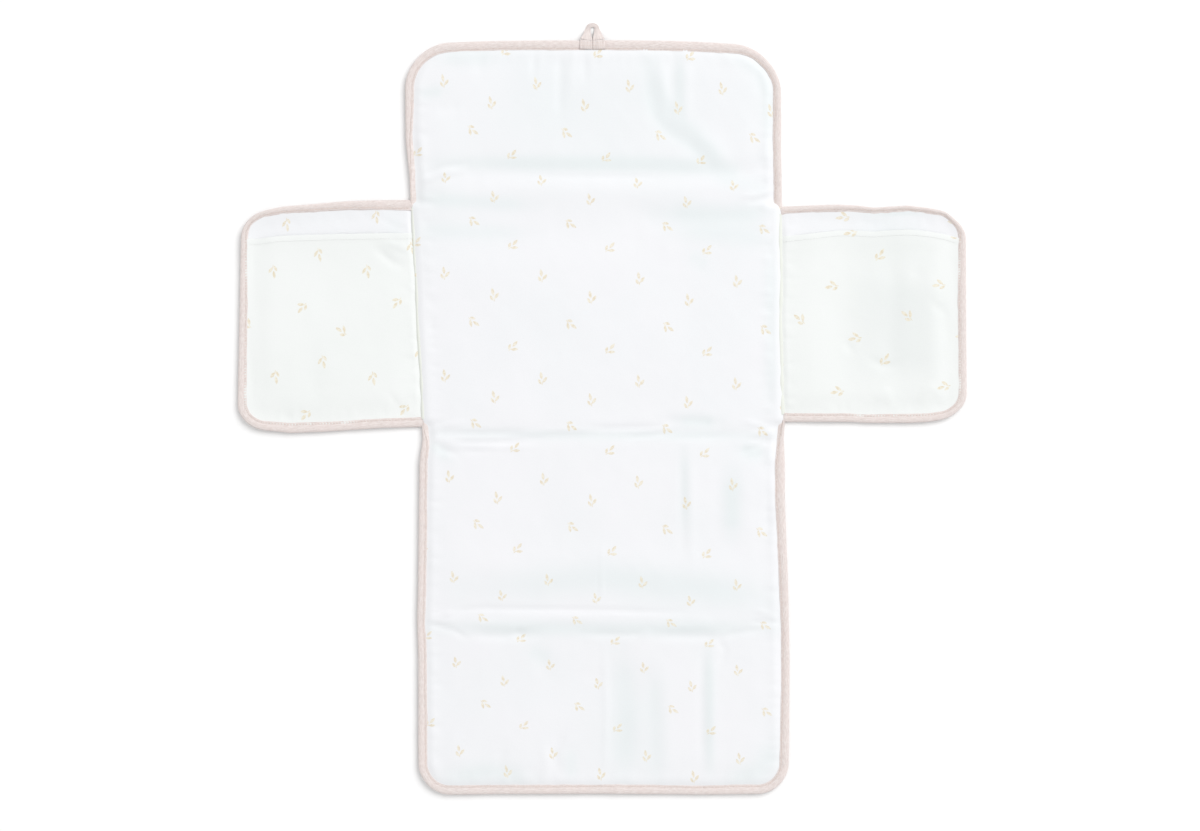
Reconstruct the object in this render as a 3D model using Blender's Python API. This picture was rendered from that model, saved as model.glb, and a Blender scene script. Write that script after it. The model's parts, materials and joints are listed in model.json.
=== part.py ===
"""Fold-up changing pad, lying open and flat with its printed inner side up.

A padded centre strip folds at three creases, and two padded wings with a pocket each are sewn to its
seat panel. Tape binds every free edge. A tape loop on the top flap closes over a button that is sewn
to the outer side of the middle panel.

Frame: +Z up, +Y towards the loop, X across the wings. The origin is on the floor, under the middle
of the open pad. Every piece of one rigid body hangs from an empty on that body's fold line.
"""

import math

import bmesh
import bpy
from mathutils import Vector

MM = 0.001

# Cloth and the gap kept between neighbouring layers
CLOTH = 0.4 * MM
LAYER_GAP = 0.3 * MM

# Padded thickness of the centre strip and of a wing with its pocket
PANEL_THICKNESS = 6.5 * MM
WING_THICKNESS = 8.4 * MM
WING_LINING_TOP = 3.0 * MM

# Fold lines lie just above the surface they fold onto, so a folded panel lands clear of it.
FOLD_Z = PANEL_THICKNESS + LAYER_GAP
WING_FOLD_Z = (PANEL_THICKNESS + WING_THICKNESS) / 2 + LAYER_GAP
STACK_GAP = 1.0 * MM
LOOP_ROOM = 2.0 * MM

# Lengths along the centre strip, from the foot edge to the flap edge. Each spine is as wide as the
# stack that it wraps when the pad is folded.
FOOT_LENGTH = 156.7 * MM
MIDDLE_LENGTH = 158.3 * MM
LOWER_SPINE = 2 * WING_FOLD_Z + STACK_GAP
SEAT_LENGTH = 212.1 * MM
UPPER_SPINE = LOWER_SPINE + PANEL_THICKNESS + LOOP_ROOM
FLAP_LENGTH = 111.4 * MM
STRIP_LENGTH = FOOT_LENGTH + MIDDLE_LENGTH + LOWER_SPINE + SEAT_LENGTH + UPPER_SPINE + FLAP_LENGTH
STRIP_HALF_WIDTH = 166.5 * MM
SEAT_HALF_WIDTH = 164.2 * MM

# Loop of folded tape
LOOP_REACH = 16.0 * MM
LOOP_TAPE_WIDTH = 11.4 * MM
LOOP_TIP_WIDTH = 6.8 * MM
LOOP_TAPE = 0.9 * MM
LOOP_EYE_RADIUS = 3.3 * MM
LOOP_START = 0.9 * MM
LOOP_FOOT_END = 0.7 * MM
LOOP_FOOT_LENGTH = 8.0 * MM

# Fold lines along Y, and the two ends of the strip
FOOT_Y = -(STRIP_LENGTH + LOOP_REACH) / 2
FOOT_FOLD_Y = FOOT_Y + FOOT_LENGTH
MIDDLE_FOLD_Y = FOOT_FOLD_Y + MIDDLE_LENGTH
SEAT_LOW_Y = MIDDLE_FOLD_Y + LOWER_SPINE
SEAT_HIGH_Y = SEAT_LOW_Y + SEAT_LENGTH
FLAP_FOLD_Y = SEAT_HIGH_Y + UPPER_SPINE
FLAP_Y = FLAP_FOLD_Y + FLAP_LENGTH
CREASE_GAP = 1.0 * MM

# Wings
WING_SPAN = 163.3 * MM
WING_LOW_Y = SEAT_LOW_Y + 1.0 * MM
WING_HEIGHT = 202.0 * MM
WING_MID_Y = WING_LOW_Y + WING_HEIGHT / 2
WING_START = 1.5 * MM
SEAM_TAPER = 0.5
POCKET_DEPTH = 173.5 * MM

# Corner radii
FLAP_RADIUS = 40.0 * MM
FOOT_RADIUS = 28.0 * MM
WING_RADIUS = 24.0 * MM
CORNER_STEPS = 6

# Binding tape, folded over the edge
BINDING_WIDTH = 8.0 * MM
BINDING_ROUND = 0.6 * MM
STRIP_BINDING_TOP = 3.4 * MM
WING_BINDING_TOP = 3.9 * MM

# Insets from the edge at which the layers change height: inside the binding, at its inner edge,
# just past it, and where the padding reaches its full thickness
STRIP_INSETS = (0.8 * MM, 8.3 * MM, 10.0 * MM, 24.0 * MM)
WING_INSETS = (0.8 * MM, 8.3 * MM, 10.0 * MM, 20.0 * MM)

# (lowest, highest) of each layer at those four insets
SHELL = [(0.7 * MM, 1.1 * MM), (0.7 * MM, 1.1 * MM), (0.0, CLOTH), (0.0, CLOTH)]
STRIP_WADDING = [(1.4 * MM, 2.0 * MM), (1.4 * MM, 2.0 * MM), (0.7 * MM, 2.7 * MM), (0.7 * MM, 5.8 * MM)]
STRIP_FACE = [
    (2.3 * MM, 2.7 * MM),
    (2.3 * MM, 2.7 * MM),
    (3.0 * MM, 3.4 * MM),
    (PANEL_THICKNESS - CLOTH, PANEL_THICKNESS),
]
WING_WADDING = [(1.4 * MM, 1.8 * MM), (1.4 * MM, 1.8 * MM), (0.7 * MM, 2.0 * MM), (0.7 * MM, 2.3 * MM)]
WING_LINING = [
    (2.1 * MM, 2.5 * MM),
    (2.1 * MM, 2.5 * MM),
    (2.3 * MM, 2.7 * MM),
    (WING_LINING_TOP - CLOTH, WING_LINING_TOP),
]
POCKET = [
    (2.8 * MM, 3.2 * MM),
    (2.8 * MM, 3.2 * MM),
    (3.4 * MM, 3.8 * MM),
    (WING_THICKNESS - CLOTH, WING_THICKNESS),
]

# Seam allowance between the strip and a wing
SEAM_FROM = -0.5 * MM
SEAM_TO = 1.2 * MM
SEAM_LOW = 0.7 * MM
SEAM_HIGH = 2.9 * MM

# Button on the outer side of the middle panel, where the loop's eye lands when the pad is folded
EYE_CENTRE_Y = FLAP_Y + LOOP_REACH - LOOP_TAPE / 2 - LOOP_EYE_RADIUS
FOLDED_EYE_Y = SEAT_HIGH_Y + FLAP_FOLD_Y - EYE_CENTRE_Y
BUTTON_Y = SEAT_LOW_Y + MIDDLE_FOLD_Y - FOLDED_EYE_Y
BUTTON_HOLE_RADIUS = 0.8 * MM
BUTTON_HOLE_OFFSET = 1.6 * MM
THREAD_HALF = 0.35 * MM
BUTTON_STEPS = 20

# Each rigid body: its parent, and a point on the fold line that it turns about
BODIES = {
    "seat": (None, (0.0, 0.0, 0.0)),
    "upper_spine": ("seat", (0.0, SEAT_HIGH_Y, FOLD_Z)),
    "flap": ("upper_spine", (0.0, FLAP_FOLD_Y, FOLD_Z)),
    "loop": ("flap", (0.0, FLAP_Y, STRIP_BINDING_TOP + LAYER_GAP + LOOP_TAPE / 2)),
    "lower_spine": ("seat", (0.0, SEAT_LOW_Y, FOLD_Z)),
    "middle": ("lower_spine", (0.0, MIDDLE_FOLD_Y, FOLD_Z)),
    "foot": ("middle", (0.0, FOOT_FOLD_Y, FOLD_Z)),
    "left_wing": ("seat", (-SEAT_HALF_WIDTH, WING_MID_Y, WING_FOLD_Z)),
    "right_wing": ("seat", (SEAT_HALF_WIDTH, WING_MID_Y, WING_FOLD_Z)),
}
EMPTIES = {}

# Name: (colour, roughness)
FINISHES = {
    "coated_print": ((0.90, 0.92, 0.94), 0.40),
    "cotton_print": ((0.92, 0.93, 0.91), 0.80),
    "wadding": ((0.95, 0.95, 0.93), 1.00),
    "binding_tape": ((0.83, 0.74, 0.71), 0.85),
    "button": ((0.85, 0.76, 0.70), 0.35),
    "thread": ((0.88, 0.80, 0.76), 0.70),
}
MATERIALS = {}


def clear_scene():
    for obj in list(bpy.data.objects):
        bpy.data.objects.remove(obj, do_unlink=True)


def make_materials():
    for name, (colour, roughness) in FINISHES.items():
        mat = bpy.data.materials.new(name)
        mat.use_nodes = True
        shader = mat.node_tree.nodes["Principled BSDF"]
        shader.inputs["Base Color"].default_value = (*colour, 1.0)
        shader.inputs["Roughness"].default_value = roughness
        MATERIALS[name] = mat


def make_empties():
    for name, (parent, place) in BODIES.items():
        empty = bpy.data.objects.new(name + "_fold_line", None)
        bpy.context.scene.collection.objects.link(empty)
        start = Vector(BODIES[parent][1]) if parent else Vector((0.0, 0.0, 0.0))
        empty.parent = EMPTIES.get(parent)
        empty.location = Vector(place) - start
        EMPTIES[name] = empty


def add_piece(name, bm, body, finish):
    """An object whose vertices are given in the pad's frame, hung from its body's fold line."""
    bmesh.ops.recalc_face_normals(bm, faces=bm.faces)
    mesh = bpy.data.meshes.new(name)
    bm.to_mesh(mesh)
    bm.free()
    mesh.materials.append(MATERIALS[finish])
    obj = bpy.data.objects.new(name, mesh)
    bpy.context.scene.collection.objects.link(obj)
    obj.parent = EMPTIES[body]
    obj.location = -Vector(BODIES[body][1])
    return obj


# ---- Outlines -------------------------------------------------------------------------------------


def quarter_circle(centre, radius, start):
    """Points of a quarter circle from the angle start, turning clockwise."""
    angles = [start - math.pi / 2 * i / CORNER_STEPS for i in range(CORNER_STEPS + 1)]
    return [(centre[0] + radius * math.cos(a), centre[1] + radius * math.sin(a)) for a in angles]


def u_rail(half_width, length, radii, inset, cut=0.0):
    """A U as (across, forward) points: from its left open end at cut, round the far side at length,
    and back to its right open end, all of it inset from the outline. radii are those of the two far
    corners, and 0 is a square corner."""
    side, far = half_width - inset, length - inset
    points = [(-side, cut)]
    for sign, radius in zip((-1, 1), radii):
        if radius == 0:
            points.append((sign * side, far))
            continue
        inner = max(radius - inset, MM)
        centre = (sign * (side - inner), far - inner)
        start = math.pi if sign < 0 else math.pi / 2
        points += quarter_circle(centre, inner, start)
    return points + [(side, cut)]


def flap_rail(inset):
    rail = u_rail(STRIP_HALF_WIDTH, FLAP_LENGTH, (FLAP_RADIUS, FLAP_RADIUS), inset, CREASE_GAP)
    return [(across, FLAP_FOLD_Y + forward) for across, forward in rail]


def foot_rail(inset):
    rail = u_rail(STRIP_HALF_WIDTH, FOOT_LENGTH, (FOOT_RADIUS, FOOT_RADIUS), inset, CREASE_GAP)
    return [(across, FOOT_FOLD_Y - forward) for across, forward in rail]


def wing_rail(side, inset, cut):
    rail = u_rail(WING_HEIGHT / 2, WING_SPAN, (WING_RADIUS, WING_RADIUS), inset, cut)
    return [(side * (SEAT_HALF_WIDTH + forward), WING_MID_Y + across) for across, forward in rail]


def pocket_rail(side, inset):
    """The pocket's sewn edges: down the seam, along the wing's lower edge and up its outer edge."""
    seam_inset = WING_START + SEAM_TAPER * inset
    half_width = (WING_SPAN - seam_inset + inset) / 2
    rail = u_rail(half_width, POCKET_DEPTH, (0, WING_RADIUS), inset)
    middle = SEAT_HALF_WIDTH + seam_inset + half_width - inset
    top = WING_LOW_Y + POCKET_DEPTH
    return [(side * (middle + across), top - forward) for across, forward in rail]


def edge_rail(x, low_y, high_y):
    return [(x, low_y), (x, high_y)]


# ---- Solids ---------------------------------------------------------------------------------------


def layer(name, rails, heights, body, finish, closed=False, fill=False):
    """The solid between two surfaces over the same rails. heights gives (lowest, highest) for each
    rail. closed joins each rail's ends, and fill spans what the last rail encloses."""
    bm = bmesh.new()
    low = [[bm.verts.new((x, y, z[0])) for x, y in rail] for rail, z in zip(rails, heights)]
    high = [[bm.verts.new((x, y, z[1])) for x, y in rail] for rail, z in zip(rails, heights)]
    count = len(rails[0])
    steps = range(count if closed else count - 1)
    for surface in (low, high):
        for first, second in zip(surface, surface[1:]):
            for j in steps:
                k = (j + 1) % count
                bm.faces.new((first[j], first[k], second[k], second[j]))
        if fill:
            bm.faces.new(surface[-1])
    rim = [(0, j, 0, (j + 1) % count) for j in steps]
    if not closed:
        rim += [(i, end, i + 1, end) for i in range(len(rails) - 1) for end in (0, count - 1)]
        rim += [(len(rails) - 1, 0, len(rails) - 1, count - 1)] if fill else []
    if not fill:
        rim += [(len(rails) - 1, j, len(rails) - 1, (j + 1) % count) for j in steps]
    for i, j, k, m in rim:
        bm.faces.new((low[i][j], low[k][m], high[k][m], high[i][j]))
    return add_piece(name, bm, body, finish)


def channel(name, rail_at, top, body):
    """Binding tape folded over an edge: a C-shaped profile of (inset, height) run along the edge."""
    profile = [
        (BINDING_WIDTH, 0.0),
        (BINDING_ROUND, 0.0),
        (0.0, BINDING_ROUND),
        (0.0, top - BINDING_ROUND),
        (BINDING_ROUND, top),
        (BINDING_WIDTH, top),
        (BINDING_WIDTH, top - CLOTH),
        (BINDING_ROUND, top - CLOTH),
        (CLOTH, top - BINDING_ROUND),
        (CLOTH, BINDING_ROUND),
        (BINDING_ROUND, CLOTH),
        (BINDING_WIDTH, CLOTH),
    ]
    bm = bmesh.new()
    rows = [[bm.verts.new((x, y, z)) for x, y in rail_at(inset)] for inset, z in profile]
    for first, second in zip(rows, rows[1:] + rows[:1]):
        for j in range(len(first) - 1):
            bm.faces.new((first[j], first[j + 1], second[j + 1], second[j]))
    for end in (0, -1):
        bm.faces.new([row[end] for row in rows])
    return add_piece(name, bm, body, "binding_tape")


def block(name, low, high, body, finish):
    """A plain box between two corners."""
    bm = bmesh.new()
    bmesh.ops.create_cube(bm, size=1.0)
    size, middle = Vector(high) - Vector(low), (Vector(high) + Vector(low)) / 2
    bmesh.ops.scale(bm, vec=size, verts=bm.verts)
    bmesh.ops.translate(bm, vec=middle, verts=bm.verts)
    return add_piece(name, bm, body, finish)


def turned(name, profile, body, finish, steps=BUTTON_STEPS):
    """A solid of revolution about the button's vertical axis, from (radius, height) points."""
    bm = bmesh.new()
    verts = [bm.verts.new((radius, 0.0, z)) for radius, z in profile]
    edges = [bm.edges.new(pair) for pair in zip(verts, verts[1:])]
    bmesh.ops.spin(
        bm, geom=verts + edges, cent=(0, 0, 0), axis=(0, 0, 1), angle=math.tau, steps=steps, use_duplicate=False
    )
    bmesh.ops.remove_doubles(bm, verts=bm.verts, dist=0.001 * MM)
    bmesh.ops.translate(bm, vec=(0.0, BUTTON_Y, 0.0), verts=bm.verts)
    return add_piece(name, bm, body, finish)


def combine(obj, other, operation):
    """Boolean of obj with a helper object, which is left out of the render and of the solids."""
    other.hide_render = True
    other.display_type = "WIRE"
    modifier = obj.modifiers.new(operation.title(), "BOOLEAN")
    modifier.operation = operation
    modifier.object = other


# ---- Panels of the centre strip -------------------------------------------------------------------


def straight_panel(body, low_y, high_y, half_width=STRIP_HALF_WIDTH):
    """Inner face, wadding and outer shell of a panel with its cut ends at two creases."""
    insets = [*STRIP_INSETS, *reversed(STRIP_INSETS)]
    sides = [-1] * len(STRIP_INSETS) + [1] * len(STRIP_INSETS)
    low_y, high_y = low_y + CREASE_GAP, high_y - CREASE_GAP
    rails = [edge_rail(s * (half_width - d), low_y, high_y) for s, d in zip(sides, insets)]
    made = {}
    for part, heights, finish in (
        ("inner_face", STRIP_FACE, "coated_print"),
        ("wadding", STRIP_WADDING, "wadding"),
        ("outer_shell", SHELL, "cotton_print"),
    ):
        both = [*heights, *reversed(heights)]
        made[part] = layer(f"{body}_{part}", rails, both, body, finish)
    return made


def side_bindings(body, low_y, high_y):
    for side, word in ((-1, "left"), (1, "right")):
        channel(
            f"{body}_binding_{word}",
            lambda inset: edge_rail(side * (STRIP_HALF_WIDTH - inset), low_y, high_y),
            STRIP_BINDING_TOP,
            body,
        )


def end_panel(body, rail_at):
    """A panel with one crease, and with binding round its other three edges."""
    rails = [rail_at(inset) for inset in STRIP_INSETS]
    for part, heights, finish in (
        ("inner_face", STRIP_FACE, "coated_print"),
        ("wadding", STRIP_WADDING, "wadding"),
        ("outer_shell", SHELL, "cotton_print"),
    ):
        layer(f"{body}_{part}", rails, heights, body, finish, fill=True)
    channel(f"{body}_binding", rail_at, STRIP_BINDING_TOP, body)


def seat_seams():
    for side, word in ((-1, "left"), (1, "right")):
        xs = sorted(side * (SEAT_HALF_WIDTH + d) for d in (SEAM_FROM, SEAM_TO))
        low = (xs[0], WING_LOW_Y, SEAM_LOW)
        high = (xs[1], WING_LOW_Y + WING_HEIGHT, SEAM_HIGH)
        block(f"seat_{word}_wing_seam", low, high, "seat", "cotton_print")


# ---- Wings ----------------------------------------------------------------------------------------


def wing(body, side):
    rails = [wing_rail(side, d, WING_START + SEAM_TAPER * d) for d in WING_INSETS]
    for part, heights, finish in (
        ("lining", WING_LINING, "coated_print"),
        ("wadding", WING_WADDING, "wadding"),
        ("outer_shell", SHELL, "cotton_print"),
    ):
        layer(f"{body}_{part}", rails, heights, body, finish, closed=True, fill=True)
    pocket_rails = [pocket_rail(side, d) for d in WING_INSETS]
    layer(f"{body}_pocket", pocket_rails, POCKET, body, "cotton_print", fill=True)
    channel(f"{body}_binding", lambda inset: wing_rail(side, inset, WING_START), WING_BINDING_TOP, body)


# ---- Loop -----------------------------------------------------------------------------------------


def loop_stations(leg_steps=6, arc_steps=8):
    """(centre, half width, angle of the width) along the loop, from its left foot to its right one.
    The tape lies flat at its feet, and turns on edge where it goes round the eye."""
    flat_z = BODIES["loop"][1][2]
    tip_z = LOOP_TIP_WIDTH / 2 + 0.4 * MM
    foot_x = LOOP_TAPE_WIDTH / 2 + LAYER_GAP
    left = []
    for i in range(leg_steps):
        t = i / leg_steps
        x = -foot_x + t * (foot_x - LOOP_EYE_RADIUS)
        y = FLAP_Y + LOOP_START + t * (EYE_CENTRE_Y - FLAP_Y - LOOP_START)
        z = flat_z + t * (tip_z - flat_z)
        half = (LOOP_TAPE_WIDTH + t * (LOOP_TIP_WIDTH - LOOP_TAPE_WIDTH)) / 2
        left.append((Vector((x, y, z)), half, t * math.pi / 2))
    stations = list(left)
    for i in range(arc_steps + 1):
        a = math.pi - math.pi * i / arc_steps
        x, y = LOOP_EYE_RADIUS * math.cos(a), EYE_CENTRE_Y + LOOP_EYE_RADIUS * math.sin(a)
        stations.append((Vector((x, y, tip_z)), LOOP_TIP_WIDTH / 2, math.pi / 2))
    for centre, half, turn in reversed(left):
        stations.append((Vector((-centre.x, centre.y, centre.z)), half, math.pi - turn))
    return stations


def loop():
    stations = loop_stations()
    centres = [s[0] for s in stations]
    bm = bmesh.new()
    rings = []
    for i, (centre, half, turn) in enumerate(stations):
        if i == 0:
            along = Vector((0.0, 1.0, 0.0))
        elif i == len(stations) - 1:
            along = Vector((0.0, -1.0, 0.0))
        else:
            along = (centres[i + 1] - centres[i - 1]).normalized()
        across = Vector((math.cos(turn), 0.0, math.sin(turn)))
        across = (across - along * across.dot(along)).normalized()
        out = along.cross(across) * LOOP_TAPE / 2
        corners = (across * half + out, across * half - out, -across * half - out, -across * half + out)
        rings.append([bm.verts.new(centre + c) for c in corners])
    for first, second in zip(rings, rings[1:]):
        for j in range(4):
            k = (j + 1) % 4
            bm.faces.new((first[j], first[k], second[k], second[j]))
    bm.faces.new(rings[0])
    bm.faces.new(rings[-1])
    add_piece("loop", bm, "loop", "binding_tape")
    low_z = STRIP_BINDING_TOP + LAYER_GAP
    for side, word in ((-1, "left"), (1, "right")):
        xs = sorted((side * LAYER_GAP, side * (LAYER_GAP + LOOP_TAPE_WIDTH)))
        low = (xs[0], FLAP_Y - LOOP_FOOT_LENGTH, low_z)
        high = (xs[1], FLAP_Y - LOOP_FOOT_END, low_z + LOOP_TAPE)
        block(f"flap_loop_end_{word}", low, high, "flap", "binding_tape")


# ---- Button ---------------------------------------------------------------------------------------

# (radius, height) profiles. The floor presses the button up into a dimple of the shell and wadding.
DIMPLE_HOLE = [(0.0, -2.0), (12.5, -2.0), (12.5, 2.0), (0.0, 2.0)]
DIMPLE_CUP = [(0.0, 2.9), (9.5, 2.9), (12.6, 0.1), (13.6, 0.1), (13.6, 0.3), (12.8, 0.3), (9.3, 3.3), (0.0, 3.3)]
WADDING_DENT = [(0.0, -2.0), (14.4, -2.0), (14.4, 0.5), (10.4, 3.6), (0.0, 3.6)]
BUTTON = [(0.0, 0.8), (4.2, 0.8), (5.0, 0.2), (6.9, 0.2), (7.5, 0.7), (7.5, 1.5), (6.8, 2.0), (0.0, 2.0)]
SHANK = [(0.0, 2.3), (2.7, 2.3), (2.7, 2.6), (0.0, 2.6)]
THREAD_LOW = 0.2 * MM
THREAD_HIGH = 0.5 * MM
THREAD_LEG_TOP = 2.45 * MM


def in_metres(profile):
    return [(radius * MM, z * MM) for radius, z in profile]


def button(shell, wadding):
    combine(shell, turned("dimple_hole", in_metres(DIMPLE_HOLE), "middle", "thread"), "DIFFERENCE")
    combine(shell, turned("dimple_cup", in_metres(DIMPLE_CUP), "middle", "thread"), "UNION")
    combine(wadding, turned("wadding_dent", in_metres(WADDING_DENT), "middle", "thread"), "DIFFERENCE")
    disc = turned("button", in_metres(BUTTON), "middle", "button")
    thread = turned("button_thread", in_metres(SHANK), "middle", "thread", steps=12)
    reach = BUTTON_HOLE_OFFSET + THREAD_HALF
    for row in (-1, 1):
        y = BUTTON_Y + row * BUTTON_HOLE_OFFSET
        low = (-reach, y - THREAD_HALF, THREAD_LOW)
        high = (reach, y + THREAD_HALF, THREAD_HIGH)
        combine(thread, block(f"thread_bar_{row}", low, high, "middle", "thread"), "UNION")
        for column in (-1, 1):
            x = column * BUTTON_HOLE_OFFSET
            hole = bmesh.new()
            bmesh.ops.create_cone(
                hole, cap_ends=True, segments=8, radius1=BUTTON_HOLE_RADIUS, radius2=BUTTON_HOLE_RADIUS, depth=6 * MM
            )
            bmesh.ops.translate(hole, vec=(x, y, 0.0), verts=hole.verts)
            combine(disc, add_piece(f"hole_{row}_{column}", hole, "middle", "thread"), "DIFFERENCE")
            low = (x - THREAD_HALF, y - THREAD_HALF, (THREAD_LOW + THREAD_HIGH) / 2)
            high = (x + THREAD_HALF, y + THREAD_HALF, THREAD_LEG_TOP)
            combine(thread, block(f"thread_leg_{row}_{column}", low, high, "middle", "thread"), "UNION")


def shade_round_pieces():
    for name in ("button", "loop"):
        mesh = bpy.data.objects[name].data
        mesh.shade_smooth()
        mesh.set_sharp_from_angle(angle=math.radians(40))


def main():
    clear_scene()
    make_materials()
    make_empties()
    straight_panel("seat", SEAT_LOW_Y, SEAT_HIGH_Y, SEAT_HALF_WIDTH)
    side_bindings("seat", WING_LOW_Y + WING_HEIGHT + LAYER_GAP, SEAT_HIGH_Y - CREASE_GAP)
    seat_seams()
    for spine, low_y, high_y in (
        ("upper_spine", SEAT_HIGH_Y, FLAP_FOLD_Y),
        ("lower_spine", MIDDLE_FOLD_Y, SEAT_LOW_Y),
    ):
        straight_panel(spine, low_y, high_y)
        side_bindings(spine, low_y + CREASE_GAP, high_y - CREASE_GAP)
    end_panel("flap", flap_rail)
    loop()
    made = straight_panel("middle", FOOT_FOLD_Y, MIDDLE_FOLD_Y)
    side_bindings("middle", FOOT_FOLD_Y + CREASE_GAP, MIDDLE_FOLD_Y - CREASE_GAP)
    button(made["outer_shell"], made["wadding"])
    end_panel("foot", foot_rail)
    wing("left_wing", -1)
    wing("right_wing", 1)
    shade_round_pieces()


main()
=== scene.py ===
"""Looks of the fold-up changing pad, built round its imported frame.

All cloth is made flat first, in "cloth coordinates": (across, along) in metres, in the frame's own X
and Y. place_strip() and place_wing() then lay it down the way the soft pad really lies, a little
crooked. A layer is built whole and then cut into pieces at the fold lines, so neighbouring pieces share
borders.
"""

import json
import math

import bpy
import numpy as np
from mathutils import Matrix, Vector


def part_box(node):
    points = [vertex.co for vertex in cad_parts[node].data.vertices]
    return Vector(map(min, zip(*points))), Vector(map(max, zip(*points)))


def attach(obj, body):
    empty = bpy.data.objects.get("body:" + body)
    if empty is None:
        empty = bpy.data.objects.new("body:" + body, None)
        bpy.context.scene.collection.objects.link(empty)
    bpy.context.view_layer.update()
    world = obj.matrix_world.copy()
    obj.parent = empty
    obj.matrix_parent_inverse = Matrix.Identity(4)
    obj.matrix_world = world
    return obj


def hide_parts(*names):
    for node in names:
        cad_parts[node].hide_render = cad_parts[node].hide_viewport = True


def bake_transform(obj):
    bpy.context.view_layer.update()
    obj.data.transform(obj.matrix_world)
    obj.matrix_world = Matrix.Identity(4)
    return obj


MM = 0.001
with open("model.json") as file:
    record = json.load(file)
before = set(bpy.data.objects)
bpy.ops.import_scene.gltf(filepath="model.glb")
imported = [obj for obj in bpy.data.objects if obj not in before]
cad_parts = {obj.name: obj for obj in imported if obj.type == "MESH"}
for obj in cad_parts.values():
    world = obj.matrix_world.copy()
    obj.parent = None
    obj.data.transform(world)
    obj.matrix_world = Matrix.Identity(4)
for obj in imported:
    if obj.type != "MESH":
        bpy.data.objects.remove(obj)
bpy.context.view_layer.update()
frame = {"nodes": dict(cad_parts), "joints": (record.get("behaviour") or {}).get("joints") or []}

# ---- Places read from the frame ----

JOINT = {j["name"]: j for j in frame["joints"]}
SEAT_LOW_Y = JOINT["lower_spine_fold"]["pos_m"][1]
SEAT_HIGH_Y = JOINT["upper_spine_fold"]["pos_m"][1]
MIDDLE_FOLD_Y = JOINT["middle_fold"]["pos_m"][1]
FOOT_FOLD_Y = JOINT["foot_fold"]["pos_m"][1]
FLAP_FOLD_Y = JOINT["flap_fold"]["pos_m"][1]
FLAP_Y = JOINT["loop_lift"]["pos_m"][1]
FOOT_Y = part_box("foot_binding")[0].y
STRIP_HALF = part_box("foot_binding")[1].x
FOLD_X = JOINT["right_wing_fold"]["pos_m"][0]
WING_LOW_Y, WING_HIGH_Y = (corner.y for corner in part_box("right_wing_binding"))
WING_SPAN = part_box("right_wing_binding")[1].x - FOLD_X
WING_MID_Y = (WING_LOW_Y + WING_HIGH_Y) / 2
WING_HALF = (WING_HIGH_Y - WING_LOW_Y) / 2
POCKET_TOP_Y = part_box("right_wing_pocket")[1].y
BUTTON_LOW, BUTTON_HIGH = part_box("button")
BUTTON_Y = (BUTTON_LOW.y + BUTTON_HIGH.y) / 2
LOOP_TIP_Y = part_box("loop")[1].y

# ---- Sizes of the soft layers ----

FLAP_RADIUS = 40 * MM
FOOT_RADIUS = 28 * MM
WING_RADIUS = 24 * MM
STRIP_TUCK = 1 * MM  # how far in from the edge the cloth ends, inside the binding
WING_TUCK = 3 * MM
WING_START = -0.6 * MM  # where a wing's cloth starts, a little inside its seam
WING_RAIL_START = -1 * MM
BINDING_WIDTH = 8.6 * MM
BINDING_MIDDLE = 1.6 * MM  # the height that a binding narrows to at its ends
STITCH_INSET = 7.0 * MM
STITCH_TOP = 3.86 * MM  # how high the upper and the lower row of stitches lie
STITCH_UNDER = 0.22 * MM
STITCH_PITCH = 2.7 * MM
STITCH_LENGTH = 2.0 * MM
STITCH_RADIUS = 0.24 * MM
CLOTH_STEP = 2.4 * MM
SHELL_STEP = 3.0 * MM
LOWEST = 1.6 * MM  # no valley of the inner face goes lower than this
TOP_MOST = 6.6 * MM  # no fold rises further, or a folded panel would cut into it
HEM = 9 * MM  # how deep the hem at a pocket's mouth is turned in
HEM_RIDGE = 5.8 * MM  # how far below the mouth the hem's ridge starts, and its stitches lie
HEM_STITCHES = 4.6 * MM
FOLD_REACH = 7 * MM  # how far from a fold line, and from a wing's seam, the cloth bends
SEAM_REACH = 9 * MM
SEAM_STOPS = np.linspace(1 * MM, SEAM_REACH, 9)  # rows that the seam bends at
FAR = 1.0  # a place past the end of any cloth
ROLL_FOOT = 2.2 * MM
ROLL_RISE = 2.2 * MM
EDGE_CURL = 1.7  # how far the pad's free edges curl up off the floor, in mm, and how far in that reaches
CURL_REACH = 13 * MM
DROOP_FROM = 240 * MM  # where along the strip its flap starts to droop, and its foot edge to wave
WAVE_FROM = -290 * MM
BUTTON_HOLLOW = 2.9 * MM  # the depth and the radius of the hollow in the shell over the button
BUTTON_CLEAR = 9.2 * MM
NOISE_CELLS = 97  # the noise repeats after so many cells


def smooth(t):
    t = np.clip(t, 0.0, 1.0)
    return t * t * (3 - 2 * t)


def bump(t):
    """1 at t = 0, falling to almost nothing at t = 2."""
    return np.exp(-t * t)


def soft_noise(a, b, cell_a, cell_b, seed):
    """Smooth noise from -1 to 1, with bumps about cell_a by cell_b across."""
    values = np.random.RandomState(seed).uniform(-1, 1, (NOISE_CELLS, NOISE_CELLS))
    a, b = np.asarray(a) / cell_a, np.asarray(b) / cell_b
    i, j = np.floor(a).astype(int), np.floor(b).astype(int)
    s, t = smooth(a - i), smooth(b - j)
    i, next_i, j, next_j = (k % NOISE_CELLS for k in (i, i + 1, j, j + 1))
    low = values[i, j] * (1 - s) + values[next_i, j] * s
    high = values[i, next_j] * (1 - s) + values[next_i, next_j] * s
    return low * (1 - t) + high * t


def rows_of(*columns):
    """Stacks equal grids of values into rows, one for each point."""
    return np.stack(columns, axis=-1).reshape(-1, len(columns))


# ---- How the soft pad lies ----

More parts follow.
